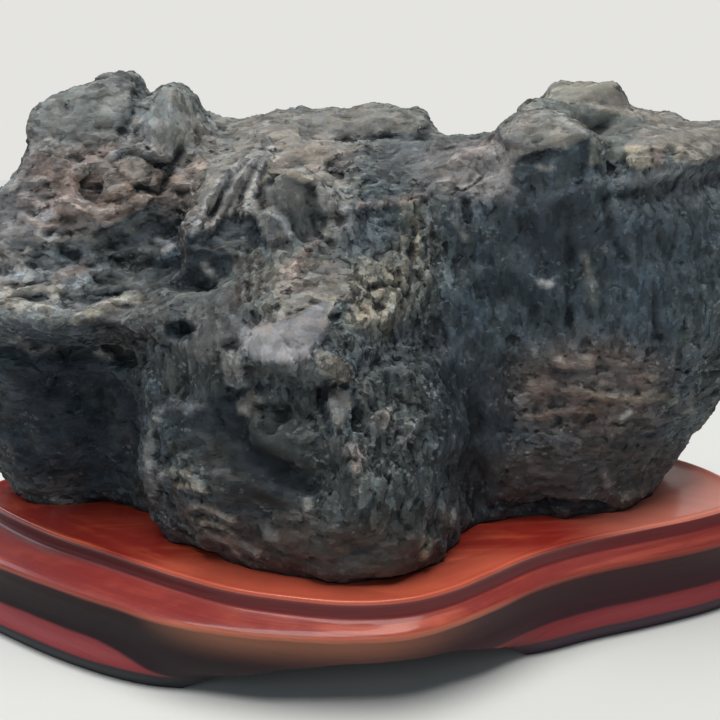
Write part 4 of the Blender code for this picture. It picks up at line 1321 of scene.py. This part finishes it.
class Palette:
    """The nodes of one material."""

    def __init__(self, name: str) -> None:
        """Starts an empty material.

        Args:
            name: The material's name.
        """
        self.made = bpy.data.materials.new(name)
        self.made.use_nodes = True
        self.tree = self.made.node_tree
        self.tree.nodes.clear()
        self.place = self.node("ShaderNodeTexCoord", {}, {}, "Object")

    def node(self, kind: str, settings: dict[str, Any], inputs: dict[Any, Any], output: Any = 0) -> Signal:
        """Adds any node.

        Args:
            kind: The node's type.
            settings: Its settings by name, with a ramp's stops under "stops".
            inputs: What goes into its sockets: a signal is linked and anything else is set.
            output: The socket to read, by name or number.

        Returns:
            The signal from that socket.
        """
        made = self.tree.nodes.new(kind)
        for name, value in settings.items():
            if name == "stops":
                self.set_stops(made.color_ramp, value)
            else:
                setattr(made, name, value)
        for name, value in inputs.items():
            if isinstance(value, Signal):
                self.tree.links.new(value.socket, made.inputs[name])
            else:
                made.inputs[name].default_value = value
        return Signal(self.tree, made.outputs[output])

    def set_stops(self, ramp: bpy.types.ColorRamp, stops: Iterable[tuple[float, Colour]]) -> None:
        """Sets a ramp's stops.

        Args:
            ramp: The ramp.
            stops: The place and colour of each, in order.
        """
        for number, (place, colour) in enumerate(stops):
            stop = ramp.elements[number] if number < 2 else ramp.elements.new(place)
            stop.position = place
            stop.color = (*colour, 1)

    def attribute(self, name: str, output: str = "Fac") -> Signal:
        """Returns what is stored on the mesh under a name: a number, or its Color output."""
        return self.node("ShaderNodeAttribute", {"attribute_name": name}, {}, output)

    def vector(self, operation: str, first: Any, second: Any, output: str = "Vector") -> Signal:
        """Returns what a Vector Math node makes of two vectors."""
        inputs = {0: first, 1: second}
        return self.node("ShaderNodeVectorMath", {"operation": operation}, inputs, output)

    def stretched(self, scale: Scale) -> Signal:
        """Returns the place on the piece, with each axis times its scale."""
        return self.vector("MULTIPLY", self.place, scale)

    def noise(self, scale: Scale, detail: float, rough: float, place: Signal | None = None) -> Signal:
        """Makes noise from 0 to 1.

        Args:
            scale: Waves a metre along each axis.
            detail: How many finer waves are added.
            rough: How strong the finer waves are.
            place: The place to take it at, where that isn't the piece's own.

        Returns:
            The noise.
        """
        spot = self.stretched(scale) if place is None else self.vector("MULTIPLY", place, scale)
        inputs = {"Vector": spot, "Scale": 1.0, "Detail": detail, "Roughness": rough}
        return self.node("ShaderNodeTexNoise", {}, inputs, "Fac")

    def chips(self, scale: Scale, ragged: float) -> tuple[Signal, Signal, Signal]:
        """Splits the surface into chips, each with a flat face that leans its own way.

        Args:
            scale: Chips a metre along each axis.
            ragged: How far their edges are bent, in chips.

        Returns:
            The height of the faces, and two tones of each chip's own, from 0 to 1.
        """
        plain = self.stretched(scale)
        bent = self.node("ShaderNodeTexNoise", {}, {"Vector": plain, "Scale": 1.3, "Detail": 3.0}, "Color")
        shift = self.vector("MULTIPLY", self.vector("SUBTRACT", bent, (0.5,) * 3), (2 * ragged,) * 3)
        place = self.vector("ADD", plain, shift)
        middle = self.node("ShaderNodeTexVoronoi", {}, {"Vector": place, "Scale": 1.0}, "Position")
        tones = self.node("ShaderNodeSeparateColor", {}, {0: middle.beside("Color")}, "Red")
        lean = self.vector("SUBTRACT", middle.beside("Color"), (0.5,) * 3)
        height = self.vector("DOT_PRODUCT", self.vector("SUBTRACT", place, middle), lean, "Value")
        return height, tones, tones.beside("Green")

    def mix(self, share: Any, low: Any, high: Any, way: str = "MIX") -> Signal:
        """Mixes two colours.

        Args:
            share: How much of the second there is.
            low: The first colour.
            high: The second colour.
            way: The Mix node's blend type.

        Returns:
            The mixed colour.
        """
        ends = [colour if isinstance(colour, Signal) else (*colour, 1) for colour in (low, high)]
        settings = {"data_type": "RGBA", "blend_type": way, "clamp_factor": True}
        return self.node("ShaderNodeMix", settings, {0: share, 6: ends[0], 7: ends[1]}, 2)

    def shaded(self, colour: Signal, share: Signal) -> Signal:
        """Returns a colour made darker or lighter by a share."""
        grey = self.node("ShaderNodeCombineColor", {}, {0: share, 1: share, 2: share})
        return self.mix(1.0, colour, grey, "MULTIPLY")

    def bump(self, height: Signal, strength: float, distance: float) -> Signal:
        """Returns a normal bumped by a height, whose full range is a distance in metres."""
        inputs = {"Height": height, "Strength": strength, "Distance": distance}
        return self.node("ShaderNodeBump", {}, inputs)

    def finish(self, inputs: dict[str, Any]) -> bpy.types.Material:
        """Ends the material in a Principled shader.

        Args:
            inputs: The shader's sockets by name.

        Returns:
            The material.
        """
        shader = self.node("ShaderNodeBsdfPrincipled", {}, inputs)
        end = self.tree.nodes.new("ShaderNodeOutputMaterial")
        self.tree.links.new(shader.socket, end.inputs["Surface"])
        return self.made


@dataclass(frozen=True)
class StoneFinish:
    """Weathered dark stone: stained, with painted shade in its hollows, and dust and painted highlights on
    its crests.

    A scale is in chips or waves a metre along each axis. The lying chips and fibres belong where the
    stone's own fibres run level, and the standing ones where they run upright.
    """

    # Dust, and painted highlights, laid on the crests.
    dust_and_highlight: Colour = (0.36, 0.345, 0.31)
    fleck: Colour = (0.46, 0.46, 0.44)
    # Painted shade: the near black that the hollows are darkened towards.
    deep: Colour = (0.006, 0.009, 0.012)
    cool: Colour = (0.92, 1.0, 1.06)
    warm: Colour = (1.08, 1.0, 0.93)
    lying_chips: Scale = (190, 260, 380)
    standing_chips: Scale = (390, 280, 190)
    small_chips: Scale = (700, 700, 800)
    lying_fibre: Scale = (60, 160, 420)
    standing_fibre: Scale = (420, 260, 60)
    mottling: Scale = (70, 70, 90)
    gritting: Scale = (1500, 1500, 1500)
    ragged: float = 0.42
    small_ragged: float = 0.3
    # How strongly the painted shade darkens the hollows.
    depth: float = 0.9
    bump_depth: float = 0.0016

    def material(self) -> bpy.types.Material:
        """Mixes the stone's paint.

        Returns:
            The material.
        """
        paint = Palette("dark_stone")
        stain_and_shading = paint.attribute("stain_and_shading", "Color")
        relief = paint.attribute("relief")
        stands = paint.attribute("upright").step(0.42, 0.58)
        rough = paint.attribute("rough")
        lying = paint.chips(self.lying_chips, self.ragged)
        standing = paint.chips(self.standing_chips, self.ragged)
        face, tone, warmth = (stands.blend(low, high) for low, high in zip(lying, standing))
        small, small_tone, small_warmth = paint.chips(self.small_chips, self.small_ragged)
        lying_fibre = paint.noise(self.lying_fibre, 5, 0.62)
        fibre = stands.blend(lying_fibre, paint.noise(self.standing_fibre, 5, 0.62))
        mottle = paint.noise(self.mottling, 6, 0.62)
        grit = paint.noise(self.gritting, 3, 0.6)
        uneven = (tone * 0.65 + small_tone * 0.25 + mottle * 0.45 + fibre * 0.55 + 0.05) ** 2 * 0.8 - 0.8
        colour = paint.shaded(stain_and_shading, uneven * rough + 0.95)
        leaning = paint.mix(warmth * 0.6 + small_warmth * 0.4, self.cool, self.warm)
        colour = paint.mix(1.0, colour, leaning, "MULTIPLY")
        # Painted shade in the hollows, and darker chips by their own tone.
        hollow_shade = (relief * -1.5 + (0.35 - tone) * 0.4 * rough).held()
        colour = paint.mix(hollow_shade * self.depth, colour, self.deep)
        green = paint.node("ShaderNodeSeparateColor", {}, {0: stain_and_shading}, "Green")
        lit = (green * 6.0 + 0.08).held() * rough.held()
        # Dust and painted highlights on the crests of the paler stone, broken up by grit.
        crest = (relief * 1.6 + (tone - 0.7) * 1.2).held() * lit
        colour = paint.mix(crest * (grit.step(0.35, 0.7) * 0.36), colour, self.dust_and_highlight)
        flecks = small_tone.step(0.86, 0.9) * mottle.step(0.5, 0.64) * (lit * 0.7 + 0.3 * rough.held())
        colour = paint.mix(flecks * 0.5, colour, self.fleck)
        height = (face * 1.1 + small * 0.25 + mottle * 0.4 + fibre * 0.5) * rough + grit * 0.1
        return paint.finish(
            {
                "Base Color": colour,
                "Roughness": 0.5 + mottle * 0.25 + grit * 0.15,
                "Specular IOR Level": 0.36,
                "Normal": paint.bump(height, 0.8, self.bump_depth),
            }
        )


def smooth_loop(points: Sequence[Pixel], steps: int) -> np.ndarray:
    """Draws a smooth closed curve through points.

    Args:
        points: The points, as (x, y) in millimetres.
        steps: How many places to keep between two of them.

    Returns:
        The places along the curve, one (x, y) a row.
    """
    start = np.array(points, float)
    before, end, after = np.roll(start, 1, 0), np.roll(start, -1, 0), np.roll(start, -2, 0)
    found = []
    for t in np.arange(steps) / steps:
        found.append(
            0.5 * (2 * start + (end - before) * t + (2 * before - 5 * start + 4 * end - after) * t**2
            + (3 * start - before - 3 * end + after) * t**3)
        )
    return np.stack(found, axis=1).reshape(-1, 2)


def moved_out(outline: np.ndarray, distance: float) -> np.ndarray:
    """Moves each point of an outline outwards.

    Args:
        outline: The points, one (x, y) a row.
        distance: How far they move, and below nought for inwards.

    Returns:
        The moved points.
    """
    along = np.roll(outline, -1, 0) - np.roll(outline, 1, 0)
    outward = np.stack((along[:, 1], -along[:, 0]), axis=1)
    return outline + outward / np.linalg.norm(outward, axis=1, keepdims=True) * distance


class Outline(Enum):
    """The stand's outlines from the left end along the front and back again, in the carver's own numbers."""

    LIP = (
        (-189, 22), (-182, 5), (-167, -12), (-139, -36), (-111, -55), (-90, -69.5), (-71, -82), (-50, -94),
        (-28, -102), (-4, -107.5), (18, -106.5), (36, -99), (52, -87.5), (70, -74), (93, -62),
        (122, -51.5), (151, -41), (172, -29), (181, -10), (174, 18), (154, 42), (120, 63), (80, 76),
        (36, 82), (-10, 83), (-56, 80), (-100, 71), (-142, 57), (-175, 40),
    )
    LEDGE = (
        (-200, 18), (-192, -10), (-176, -33), (-150, -53), (-122, -71.5), (-98, -86), (-77, -98.5),
        (-53, -107.5), (-30, -113), (-5, -116), (18, -114.5), (37, -106), (54, -95), (73, -81), (97, -69),
        (127, -59), (157, -48), (179, -34), (189, -10), (182, 22), (161, 49), (125, 71), (83, 84), (37, 90),
        (-10, 91), (-57, 88), (-103, 80), (-147, 66), (-184, 46),
    )
    FOOT = (
        (-204, 18), (-196, -14), (-180, -38), (-153, -59), (-124, -78), (-98, -91.5), (-77, -98), (-54, -99),
        (-32, -97), (-6, -94), (18, -91), (38, -88), (56, -85), (75, -81.5), (98, -73), (128, -63.5),
        (158, -52), (181, -37), (192, -10), (185, 23), (163, 51), (127, 73), (84, 84), (37, 84),
        (-10, 84), (-58, 84), (-104, 82), (-149, 69), (-188, 48),
    )


@dataclass(frozen=True)
class Arch:
    """An opening between two feet: its outline in (along, up), and where the cut starts and ends."""

    outline: tuple[Pixel, ...]
    start: float
    end: float
    crosswise: bool = False


ARCHES = {
    "front_arch": Arch(
        (
            (-73, -1), (-67, 2.5), (-58, 7.5), (-46, 12.5), (-30, 16.5), (-8, 19.5), (16, 20), (36, 18),
            (50, 13.5), (58, 8.5), (64, 3.5), (69, -1),
        ),
        -140, -40,
    ),
    "back_arch": Arch(
        ((-74, -1), (-66, 6), (-52, 12), (-30, 17), (-6, 19.5), (18, 18), (42, 13), (56, 6), (64, -1)),
        40, 120,
    ),
    "left_arch": Arch(
        ((-22, -1), (-18, 7), (-6, 12), (12, 14), (30, 12), (42, 7), (46, -1)), -230, -150, True
    ),
    "right_arch": Arch(
        ((-42, -1), (-40, 7), (-28, 12), (-10, 14), (8, 12), (20, 7), (24, -1)), 140, 220, True
    ),
}


def ring_piece(name: str, rings: Sequence[np.ndarray]) -> bpy.types.Object:
    """Extrudes a closed solid through rings that all have as many points.

    Args:
        name: The new object's name.
        rings: The rings in order, each with one (x, y, z) a row, in millimetres.

    Returns:
        The solid, with its faces pointing outwards.
    """
    bpy.ops.object.select_all(action="DESELECT")
    bpy.ops.mesh.primitive_circle_add(vertices=len(rings[0]), fill_type="NGON")
    made = bpy.context.active_object
    made.name = name
    for vertex, point in zip(made.data.vertices, rings[0]):
        vertex.co = Vector(point) * MM
    bpy.ops.object.mode_set(mode="EDIT")
    bpy.ops.mesh.select_all(action="SELECT")
    for before, ring in zip(rings, rings[1:]):
        bpy.ops.mesh.extrude_region_move()
        made.update_from_editmode()
        shape = bmesh.from_edit_mesh(made.data)
        top = [vertex for vertex in shape.verts if vertex.select]
        places = np.array([vertex.co for vertex in top]) / MM
        for vertex, place in zip(top, places):
            nearest = np.argmin(((before - place) ** 2).sum(axis=1))
            vertex.co = Vector(ring[nearest]) * MM
        bmesh.update_edit_mesh(made.data)
    bpy.ops.mesh.select_all(action="SELECT")
    bpy.ops.mesh.normals_make_consistent(inside=False)
    bpy.ops.object.mode_set(mode="OBJECT")
    return made


@dataclass
class CarvedStand:
    """The hardwood stand: one block with a stepped moulding, four feet and a seat for the stone."""

    node: str = "carved_stand"
    slot: str = "lacquered_hardwood"
    shift: tuple[float, float] = (5.5, 12.47)
    steps: int = 7
    rim: float = 27.0
    hollow_heights: Span = (-5.0, 20.0)
    seat_gap: float = 0.5
    seat_voxel: float = 1.4
    seat_slice: float = 50.0
    seat_triangles: int = 9000
    rounding: float = 0.42
    shading_deg: float = 32.0
    flat_edge: float = 7.0
    flat_fade: float = 2.5
    moulding: tuple[tuple[Outline, float, float], ...] = (
        (Outline.FOOT, -3.5, 0.0), (Outline.FOOT, 0.0, 7.0), (Outline.LEDGE, -1.2, 12.2),
        (Outline.LEDGE, -3.8, 21.0), (Outline.LEDGE, -1.4, 29.2), (Outline.LEDGE, 0.0, 31.2),
        (Outline.LEDGE, -1.6, 33.0), (Outline.LIP, 2.2, 34.6), (Outline.LIP, 0.6, 35.6),
        (Outline.LIP, 0.0, 41.0), (Outline.LIP, -0.5, 42.2), (Outline.LIP, -2.0, 42.0),
        (Outline.LIP, -5.0, 41.0),
    )

    def build(self, stone: bpy.types.Object) -> bpy.types.Object:
        """Makes the stand and dresses it.

        Args:
            stone: The finished stone, whose underside shapes the seat.

        Returns:
            The finished piece.
        """
        piece = ring_piece("moulded_stand", self.profile_rings())
        for cutter in (self.hollow(), *self.arches(), self.seat(stone)):
            apply_modifier(piece, "BOOLEAN", operation="DIFFERENCE", solver="EXACT", object=cutter)
            bpy.data.objects.remove(cutter)
        only(piece)
        bpy.ops.object.shade_smooth_by_angle(angle=math.radians(self.shading_deg))
        work = Sculpture(piece)
        along, edge = self.moulding_places(work.points)
        work.keep("along", along * MM)
        work.keep("edge", edge)
        piece.data.materials.clear()
        piece.data.materials.append(LacquerFinish().material())
        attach(piece, "root")
        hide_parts(self.node)
        log.info("%s: %d faces", piece.name, len(piece.data.polygons))
        return piece

    def loop(self, outline: Outline, out: float, height: float) -> np.ndarray:
        """Returns a ring at a height, a distance outside an outline, in the frame's own place."""
        flat = moved_out(smooth_loop(outline.value, self.steps), out) + np.array(self.shift)
        return np.column_stack((flat, np.full(len(flat), height)))

    def profile_rings(self) -> list[np.ndarray]:
        """Draws the moulding's rings, with each edge between two tiers rounded.

        Returns:
            The rings from the feet up.
        """
        tiers = [self.loop(*tier) for tier in self.moulding]
        rings = [tiers[0]]
        for before, edge, after in zip(tiers, tiers[1:], tiers[2:]):
            start = edge + (before - edge) * self.rounding
            end = edge + (after - edge) * self.rounding
            for t in (0.0, 0.25, 0.5, 0.75, 1.0):
                rings.append(start * (1 - t) ** 2 + 2 * edge * t * (1 - t) + end * t**2)
        rings.append(tiers[-1])
        return rings

    def moulding_places(self, points: np.ndarray) -> tuple[np.ndarray, np.ndarray]:
        """Finds where points lie on the moulding, for streaks that run round the stand with it.

        Args:
            points: The points, in millimetres.

        Returns:
            Each point's place, as a spot on a circle and a height that goes on down the moulding; and how
            far it belongs to the moulding, from 0 on the flat top to 1.
        """
        loop = self.loop(Outline.LIP, 0.0, 0.0)[:, :2]
        runs = np.roll(loop, -1, 0) - loop
        lengths = np.linalg.norm(runs, axis=1)
        starts = np.concatenate(([0.0], np.cumsum(lengths)[:-1]))
        nearest = np.full(len(points), 1e9)
        turn = np.zeros(len(points))
        out = np.zeros(len(points))
        for start, run, length, begun in zip(loop, runs, lengths, starts):
            away = points[:, :2] - start
            share = np.clip(away @ run / length**2, 0, 1)
            distance = np.linalg.norm(away - share[:, None] * run, axis=1)
            closer = distance < nearest
            side = np.sign(away @ np.array((run[1], -run[0])))
            nearest[closer] = distance[closer]
            turn[closer] = (begun + share * length)[closer]
            out[closer] = (distance * side)[closer]
        angle = turn / lengths.sum() * 2 * math.pi
        radius = lengths.sum() / (2 * math.pi)
        places = np.column_stack((radius * np.cos(angle), radius * np.sin(angle), points[:, 2] - out))
        return places, eased((out + self.flat_edge) / self.flat_fade)

    def hollow(self) -> bpy.types.Object:
        """Returns the cutter for the hollow under the stand."""
        rings = [self.loop(Outline.FOOT, -self.rim, height) for height in self.hollow_heights]
        return ring_piece("hollow_cutter", rings)

    def arches(self) -> list[bpy.types.Object]:
        """Returns the cutters for the arches between the feet."""
        return [self.arch(name, arch) for name, arch in ARCHES.items()]

    def arch(self, name: str, arch: Arch) -> bpy.types.Object:
        """Makes the cutter for one arch.

        Args:
            name: The cutter's name.
            arch: The arch to cut.

        Returns:
            The cutter.
        """
        middle_x, middle_y = self.shift
        rings = []
        for depth in (arch.start, arch.end):
            points = [(depth, a, z) if arch.crosswise else (a, depth, z) for a, z in arch.outline]
            rings.append(np.array(points, float) + np.array((middle_x, middle_y, 0.0)))
        return ring_piece(name, rings)

    def seat(self, stone: bpy.types.Object) -> bpy.types.Object:
        """Makes the cutter for the seat: the foot of the stone, a little swollen.

        Args:
            stone: The finished stone.

        Returns:
            The cutter.
        """
        cutter = bpy.data.objects.new("seat_cutter", stone.data.copy())
        cutter.data.materials.clear()
        bpy.context.scene.collection.objects.link(cutter)
        only(cutter)
        bpy.ops.object.mode_set(mode="EDIT")
        bpy.ops.mesh.select_all(action="SELECT")
        height = self.seat_slice * MM
        bpy.ops.mesh.bisect(plane_co=(0, 0, height), plane_no=(0, 0, 1), use_fill=True, clear_outer=True)
        bpy.ops.object.mode_set(mode="OBJECT")
        apply_modifier(cutter, "REMESH", mode="VOXEL", voxel_size=self.seat_voxel * MM)
        work = Sculpture(cutter)
        work.points += work.relaxed(work.normals(), 3) * self.seat_gap
        work.write()
        ratio = min(1.0, self.seat_triangles / len(cutter.data.polygons) / 2)
        apply_modifier(cutter, "DECIMATE", ratio=ratio)
        return cutter


@dataclass(frozen=True)
class LacquerFinish:
    """Glossy red lacquer over streaked hardwood, painted dark between the tiers of the moulding; its top
    carries painted light near the stone's front and a painted reflection at its right end.

    The spans are heights in millimetres, over which one tier's colour goes over into the next one's.
    """

    crimson: Colour = (0.25, 0.018, 0.012)
    orange: Colour = (0.46, 0.085, 0.030)
    maroon: Colour = (0.085, 0.012, 0.014)
    ledge_red: Colour = (0.215, 0.020, 0.017)
    ledge_orange: Colour = (0.43, 0.080, 0.042)
    edge_tan: Colour = (0.48, 0.130, 0.072)
    left_side: Colour = (0.017, 0.008, 0.010)
    right_side: Colour = (0.046, 0.014, 0.018)
    chamfer: Colour = (0.215, 0.032, 0.036)
    left_foot: Colour = (0.018, 0.018, 0.024)
    right_foot: Colour = (0.050, 0.026, 0.038)
    bare: Colour = (0.34, 0.125, 0.068)
    # Painted reflection: the pale pink of the top's right end.
    end_reflection: Colour = (0.80, 0.235, 0.160)
    # Painted light: the bright orange that lifts the top where the stone's shadow falls near its front.
    top_light_lift: Colour = (0.62, 0.120, 0.066)
    front_maroon: Colour = (0.150, 0.020, 0.021)
    chamfer_from: Span = (6.4, 7.4)
    side_from: Span = (12.0, 13.2)
    rim_from: Span = (28.6, 29.8)
    ledge_from: Span = (31.4, 32.6)
    cove_from: Span = (34.9, 35.9)
    top_from: Span = (40.5, 40.95)
    bump_depth: float = 0.0006

    def material(self) -> bpy.types.Material:
        """Mixes the stand's paint.

        Returns:
            The material.
        """
        paint = Palette("lacquered_hardwood")
        split = paint.node("ShaderNodeSeparateXYZ", {}, {"Vector": paint.place}, "X")
        x, y, z = (split.beside(axis) / MM for axis in ("X", "Y", "Z"))
        along = paint.attribute("along", "Color")
        edge = paint.attribute("edge")
        streak = edge.blend(paint.noise((14, 200, 190), 6, 0.62), paint.noise((16, 16, 240), 6, 0.62, along))
        fine = edge.blend(paint.noise((60, 1500, 1100), 3, 0.6), paint.noise((70, 70, 1300), 3, 0.6, along))
        cloud = paint.noise((24, 34, 24), 4, 0.6)
        height = z + (cloud - 0.5) * 1.4 + (streak - 0.5) * 0.8
        left_of_end = 1 - x.step(60, 110)
        # The right end of the top, where a reflection is painted and the gloss is turned down.
        reflecting_end = x.step(88, 145)
        front = y.step(-70, -92) * left_of_end * x.step(-120, -70)
        # Where the top is lifted with painted light, near the stone's front.
        near = y.step(-46, -64) * left_of_end * x.step(-120, -80)
        # Orange grain streaks, with painted light added towards the front.
        streaks_and_front_light = streak.step(0.46, 0.7) * 0.6 + cloud.step(0.5, 0.72) * 0.4 + front * 0.3
        red = paint.mix(streaks_and_front_light, self.crimson, self.orange)
        # Painted light on the top near the stone's front.
        red = paint.mix(near * (0.5 + cloud * 0.5), red, self.top_light_lift)
        # Painted reflection on the right end of the top.
        red = paint.mix(reflecting_end, red, self.end_reflection)
        maroon = paint.mix(x.step(-120, -20), self.maroon, self.front_maroon)
        lit = cloud.step(0.38, 0.62) * (0.25 + streak.step(0.4, 0.6) * 0.75) * (0.45 + front * 0.55)
        ledge = paint.mix(lit, self.ledge_red, self.ledge_orange)
        side = paint.mix(x.step(-60, 60), self.left_side, self.right_side)
        foot = paint.mix(x.step(-20, 60), self.left_foot, self.right_foot)
        rim = paint.mix(0.25 + front * 0.75, self.ledge_red, self.edge_tan)
        colour = paint.mix(height.step(*self.chamfer_from), foot, self.chamfer)
        pinch = x.step(-106, -58) * (1 - x.step(0, 30)) * y.step(-40, -60)
        colour = paint.mix((height + pinch * 6.5).step(*self.side_from), colour, side)
        colour = paint.mix(height.step(*self.rim_from), colour, rim)
        colour = paint.mix(height.step(*self.ledge_from), colour, ledge)
        colour = paint.mix((height + x.step(-60, -150) * 0.9).step(*self.cove_from), colour, maroon)
        colour = paint.mix(z.step(*self.top_from), colour, red)
        bared = y.step(-74, -96) * x.step(70, 0) * height.step(16.0, 28.0) * (1 - height.step(28.8, 30))
        colour = paint.mix(bared * 0.75, colour, self.bare)
        colour = paint.shaded(colour, 0.62 + fine * 0.35 + streak * 0.4)
        low = 1 - z.step(39.6, 40.4)
        dull = low * 0.4 + low * z.step(34.6, 35.4) * 0.3 + reflecting_end * 0.7
        glossy = z.step(29, 31) * (1 - dull).held()
        return paint.finish(
            {
                "Base Color": colour,
                "Roughness": 0.52 - glossy * 0.2 + fine * 0.16,
                "Specular IOR Level": 0.3,
                "Coat Weight": 0.04 + glossy * (0.45 + streak * 0.25),
                "Coat Roughness": 0.12,
                "Normal": paint.bump(fine * 0.4 + streak, 0.35, self.bump_depth),
            }
        )


@dataclass
class Studio:
    """A pale floor, soft light from overhead and the camera."""

    floor_radius: float = 6.0
    floor_colour: Colour = (0.60, 0.60, 0.58)
    backdrop: Colour = (0.78, 0.775, 0.75)
    fill: Colour = (0.070, 0.098, 0.120)

    def build(self) -> None:
        """Sets the stage."""
        self.floor()
        self.world()
        self.sky((-0.10, -0.02, 1.0), 50.0, 3.6, (1.0, 0.985, 0.96))
        self.light("window", (-1.0, 0.55, 0.55), 0.6, 3.0, (0.86, 0.93, 1.0))
        self.light("front", (-0.25, -1.3, 0.75), 0.9, 2.4, (0.88, 0.96, 1.0))
        self.light("behind", (0.61, 1.06, 0.46), 0.5, 1.2, (1.0, 0.97, 0.94))
        self.camera()
        bpy.context.scene.view_settings.view_transform = "Standard"

    def floor(self) -> None:
        """Lays a plain pale floor."""
        bpy.ops.object.select_all(action="DESELECT")
        bpy.ops.mesh.primitive_circle_add(vertices=96, radius=self.floor_radius, fill_type="NGON")
        floor = bpy.context.active_object
        floor.name = "floor"
        paint = Palette("pale_floor")
        floor.data.materials.append(paint.finish({"Base Color": (*self.floor_colour, 1), "Roughness": 0.9}))

    def world(self) -> None:
        """Fills the room with a faint cool light; the camera sees a pale backdrop in its place."""
        world = bpy.data.worlds.new("room")
        bpy.context.scene.world = world
        world.use_nodes = True
        tree = world.node_tree
        back = tree.nodes["Background"]
        path = tree.nodes.new("ShaderNodeLightPath")
        shown = tree.nodes.new("ShaderNodeMix")
        shown.data_type = "RGBA"
        shown.inputs[6].default_value = (*self.fill, 1)
        shown.inputs[7].default_value = (*self.backdrop, 1)
        tree.links.new(path.outputs["Is Camera Ray"], shown.inputs[0])
        tree.links.new(shown.outputs[2], back.inputs["Color"])

    def lamp(self, name: str, kind: str, power: float, colour: Colour) -> bpy.types.Object:
        """Adds a light to the scene.

        Args:
            name: The light's name.
            kind: Its type.
            power: Its power, in watts, or in watts a square metre for a sun.
            colour: Its colour.

        Returns:
            The light, at the origin.
        """
        data = bpy.data.lights.new(name, kind)
        data.energy = power
        data.color = colour
        light = bpy.data.objects.new(name, data)
        bpy.context.scene.collection.objects.link(light)
        return light

    def light(self, name: str, place: Place, size: float, power: float, colour: Colour) -> None:
        """Hangs a soft square light that faces the stone.

        Args:
            name: The light's name.
            place: Where it hangs, in metres.
            size: The length of its side, in metres.
            power: Its power in watts.
            colour: Its colour.
        """
        light = self.lamp(name, "AREA", power, colour)
        light.data.size = size
        light.visible_camera = False
        away = Vector(place) - Vector((0, 0, 0.1))
        light.matrix_world = Matrix.Translation(place) @ away.to_track_quat("Z", "Y").to_matrix().to_4x4()

    def sky(self, towards: Place, spread_deg: float, power: float, colour: Colour) -> None:
        """Lights the whole floor evenly and softly from one side of the sky.

        Args:
            towards: Where the light comes from.
            spread_deg: How wide it is.
            power: Its power in watts a square metre.
            colour: Its colour.
        """
        light = self.lamp("overhead", "SUN", power, colour)
        light.data.angle = math.radians(spread_deg)
        light.matrix_world = Vector(towards).to_track_quat("Z", "Y").to_matrix().to_4x4()

    def camera(self) -> None:
        """Sets the camera where the photograph was taken."""
        data = bpy.data.cameras.new("camera")
        data.lens = VIEW.lens_mm
        data.sensor_width = VIEW.sensor_mm
        data.clip_start = 0.01
        camera = bpy.data.objects.new("camera", data)
        bpy.context.scene.collection.objects.link(camera)
        right, up, forward = VIEW.axes()
        turned = Matrix((right, up, -forward)).transposed().to_4x4()
        camera.matrix_world = Matrix.Translation(Vector(VIEW.place) * MM) @ turned
        bpy.context.scene.camera = camera


def main() -> None:
    """Builds the stone, the stand and the studio."""
    logging.basicConfig(level=logging.INFO, format="%(name)s %(message)s")
    stone = ScholarsRock().build()
    CarvedStand().build(stone)
    Studio().build()


if __name__ == "__main__":
    main()
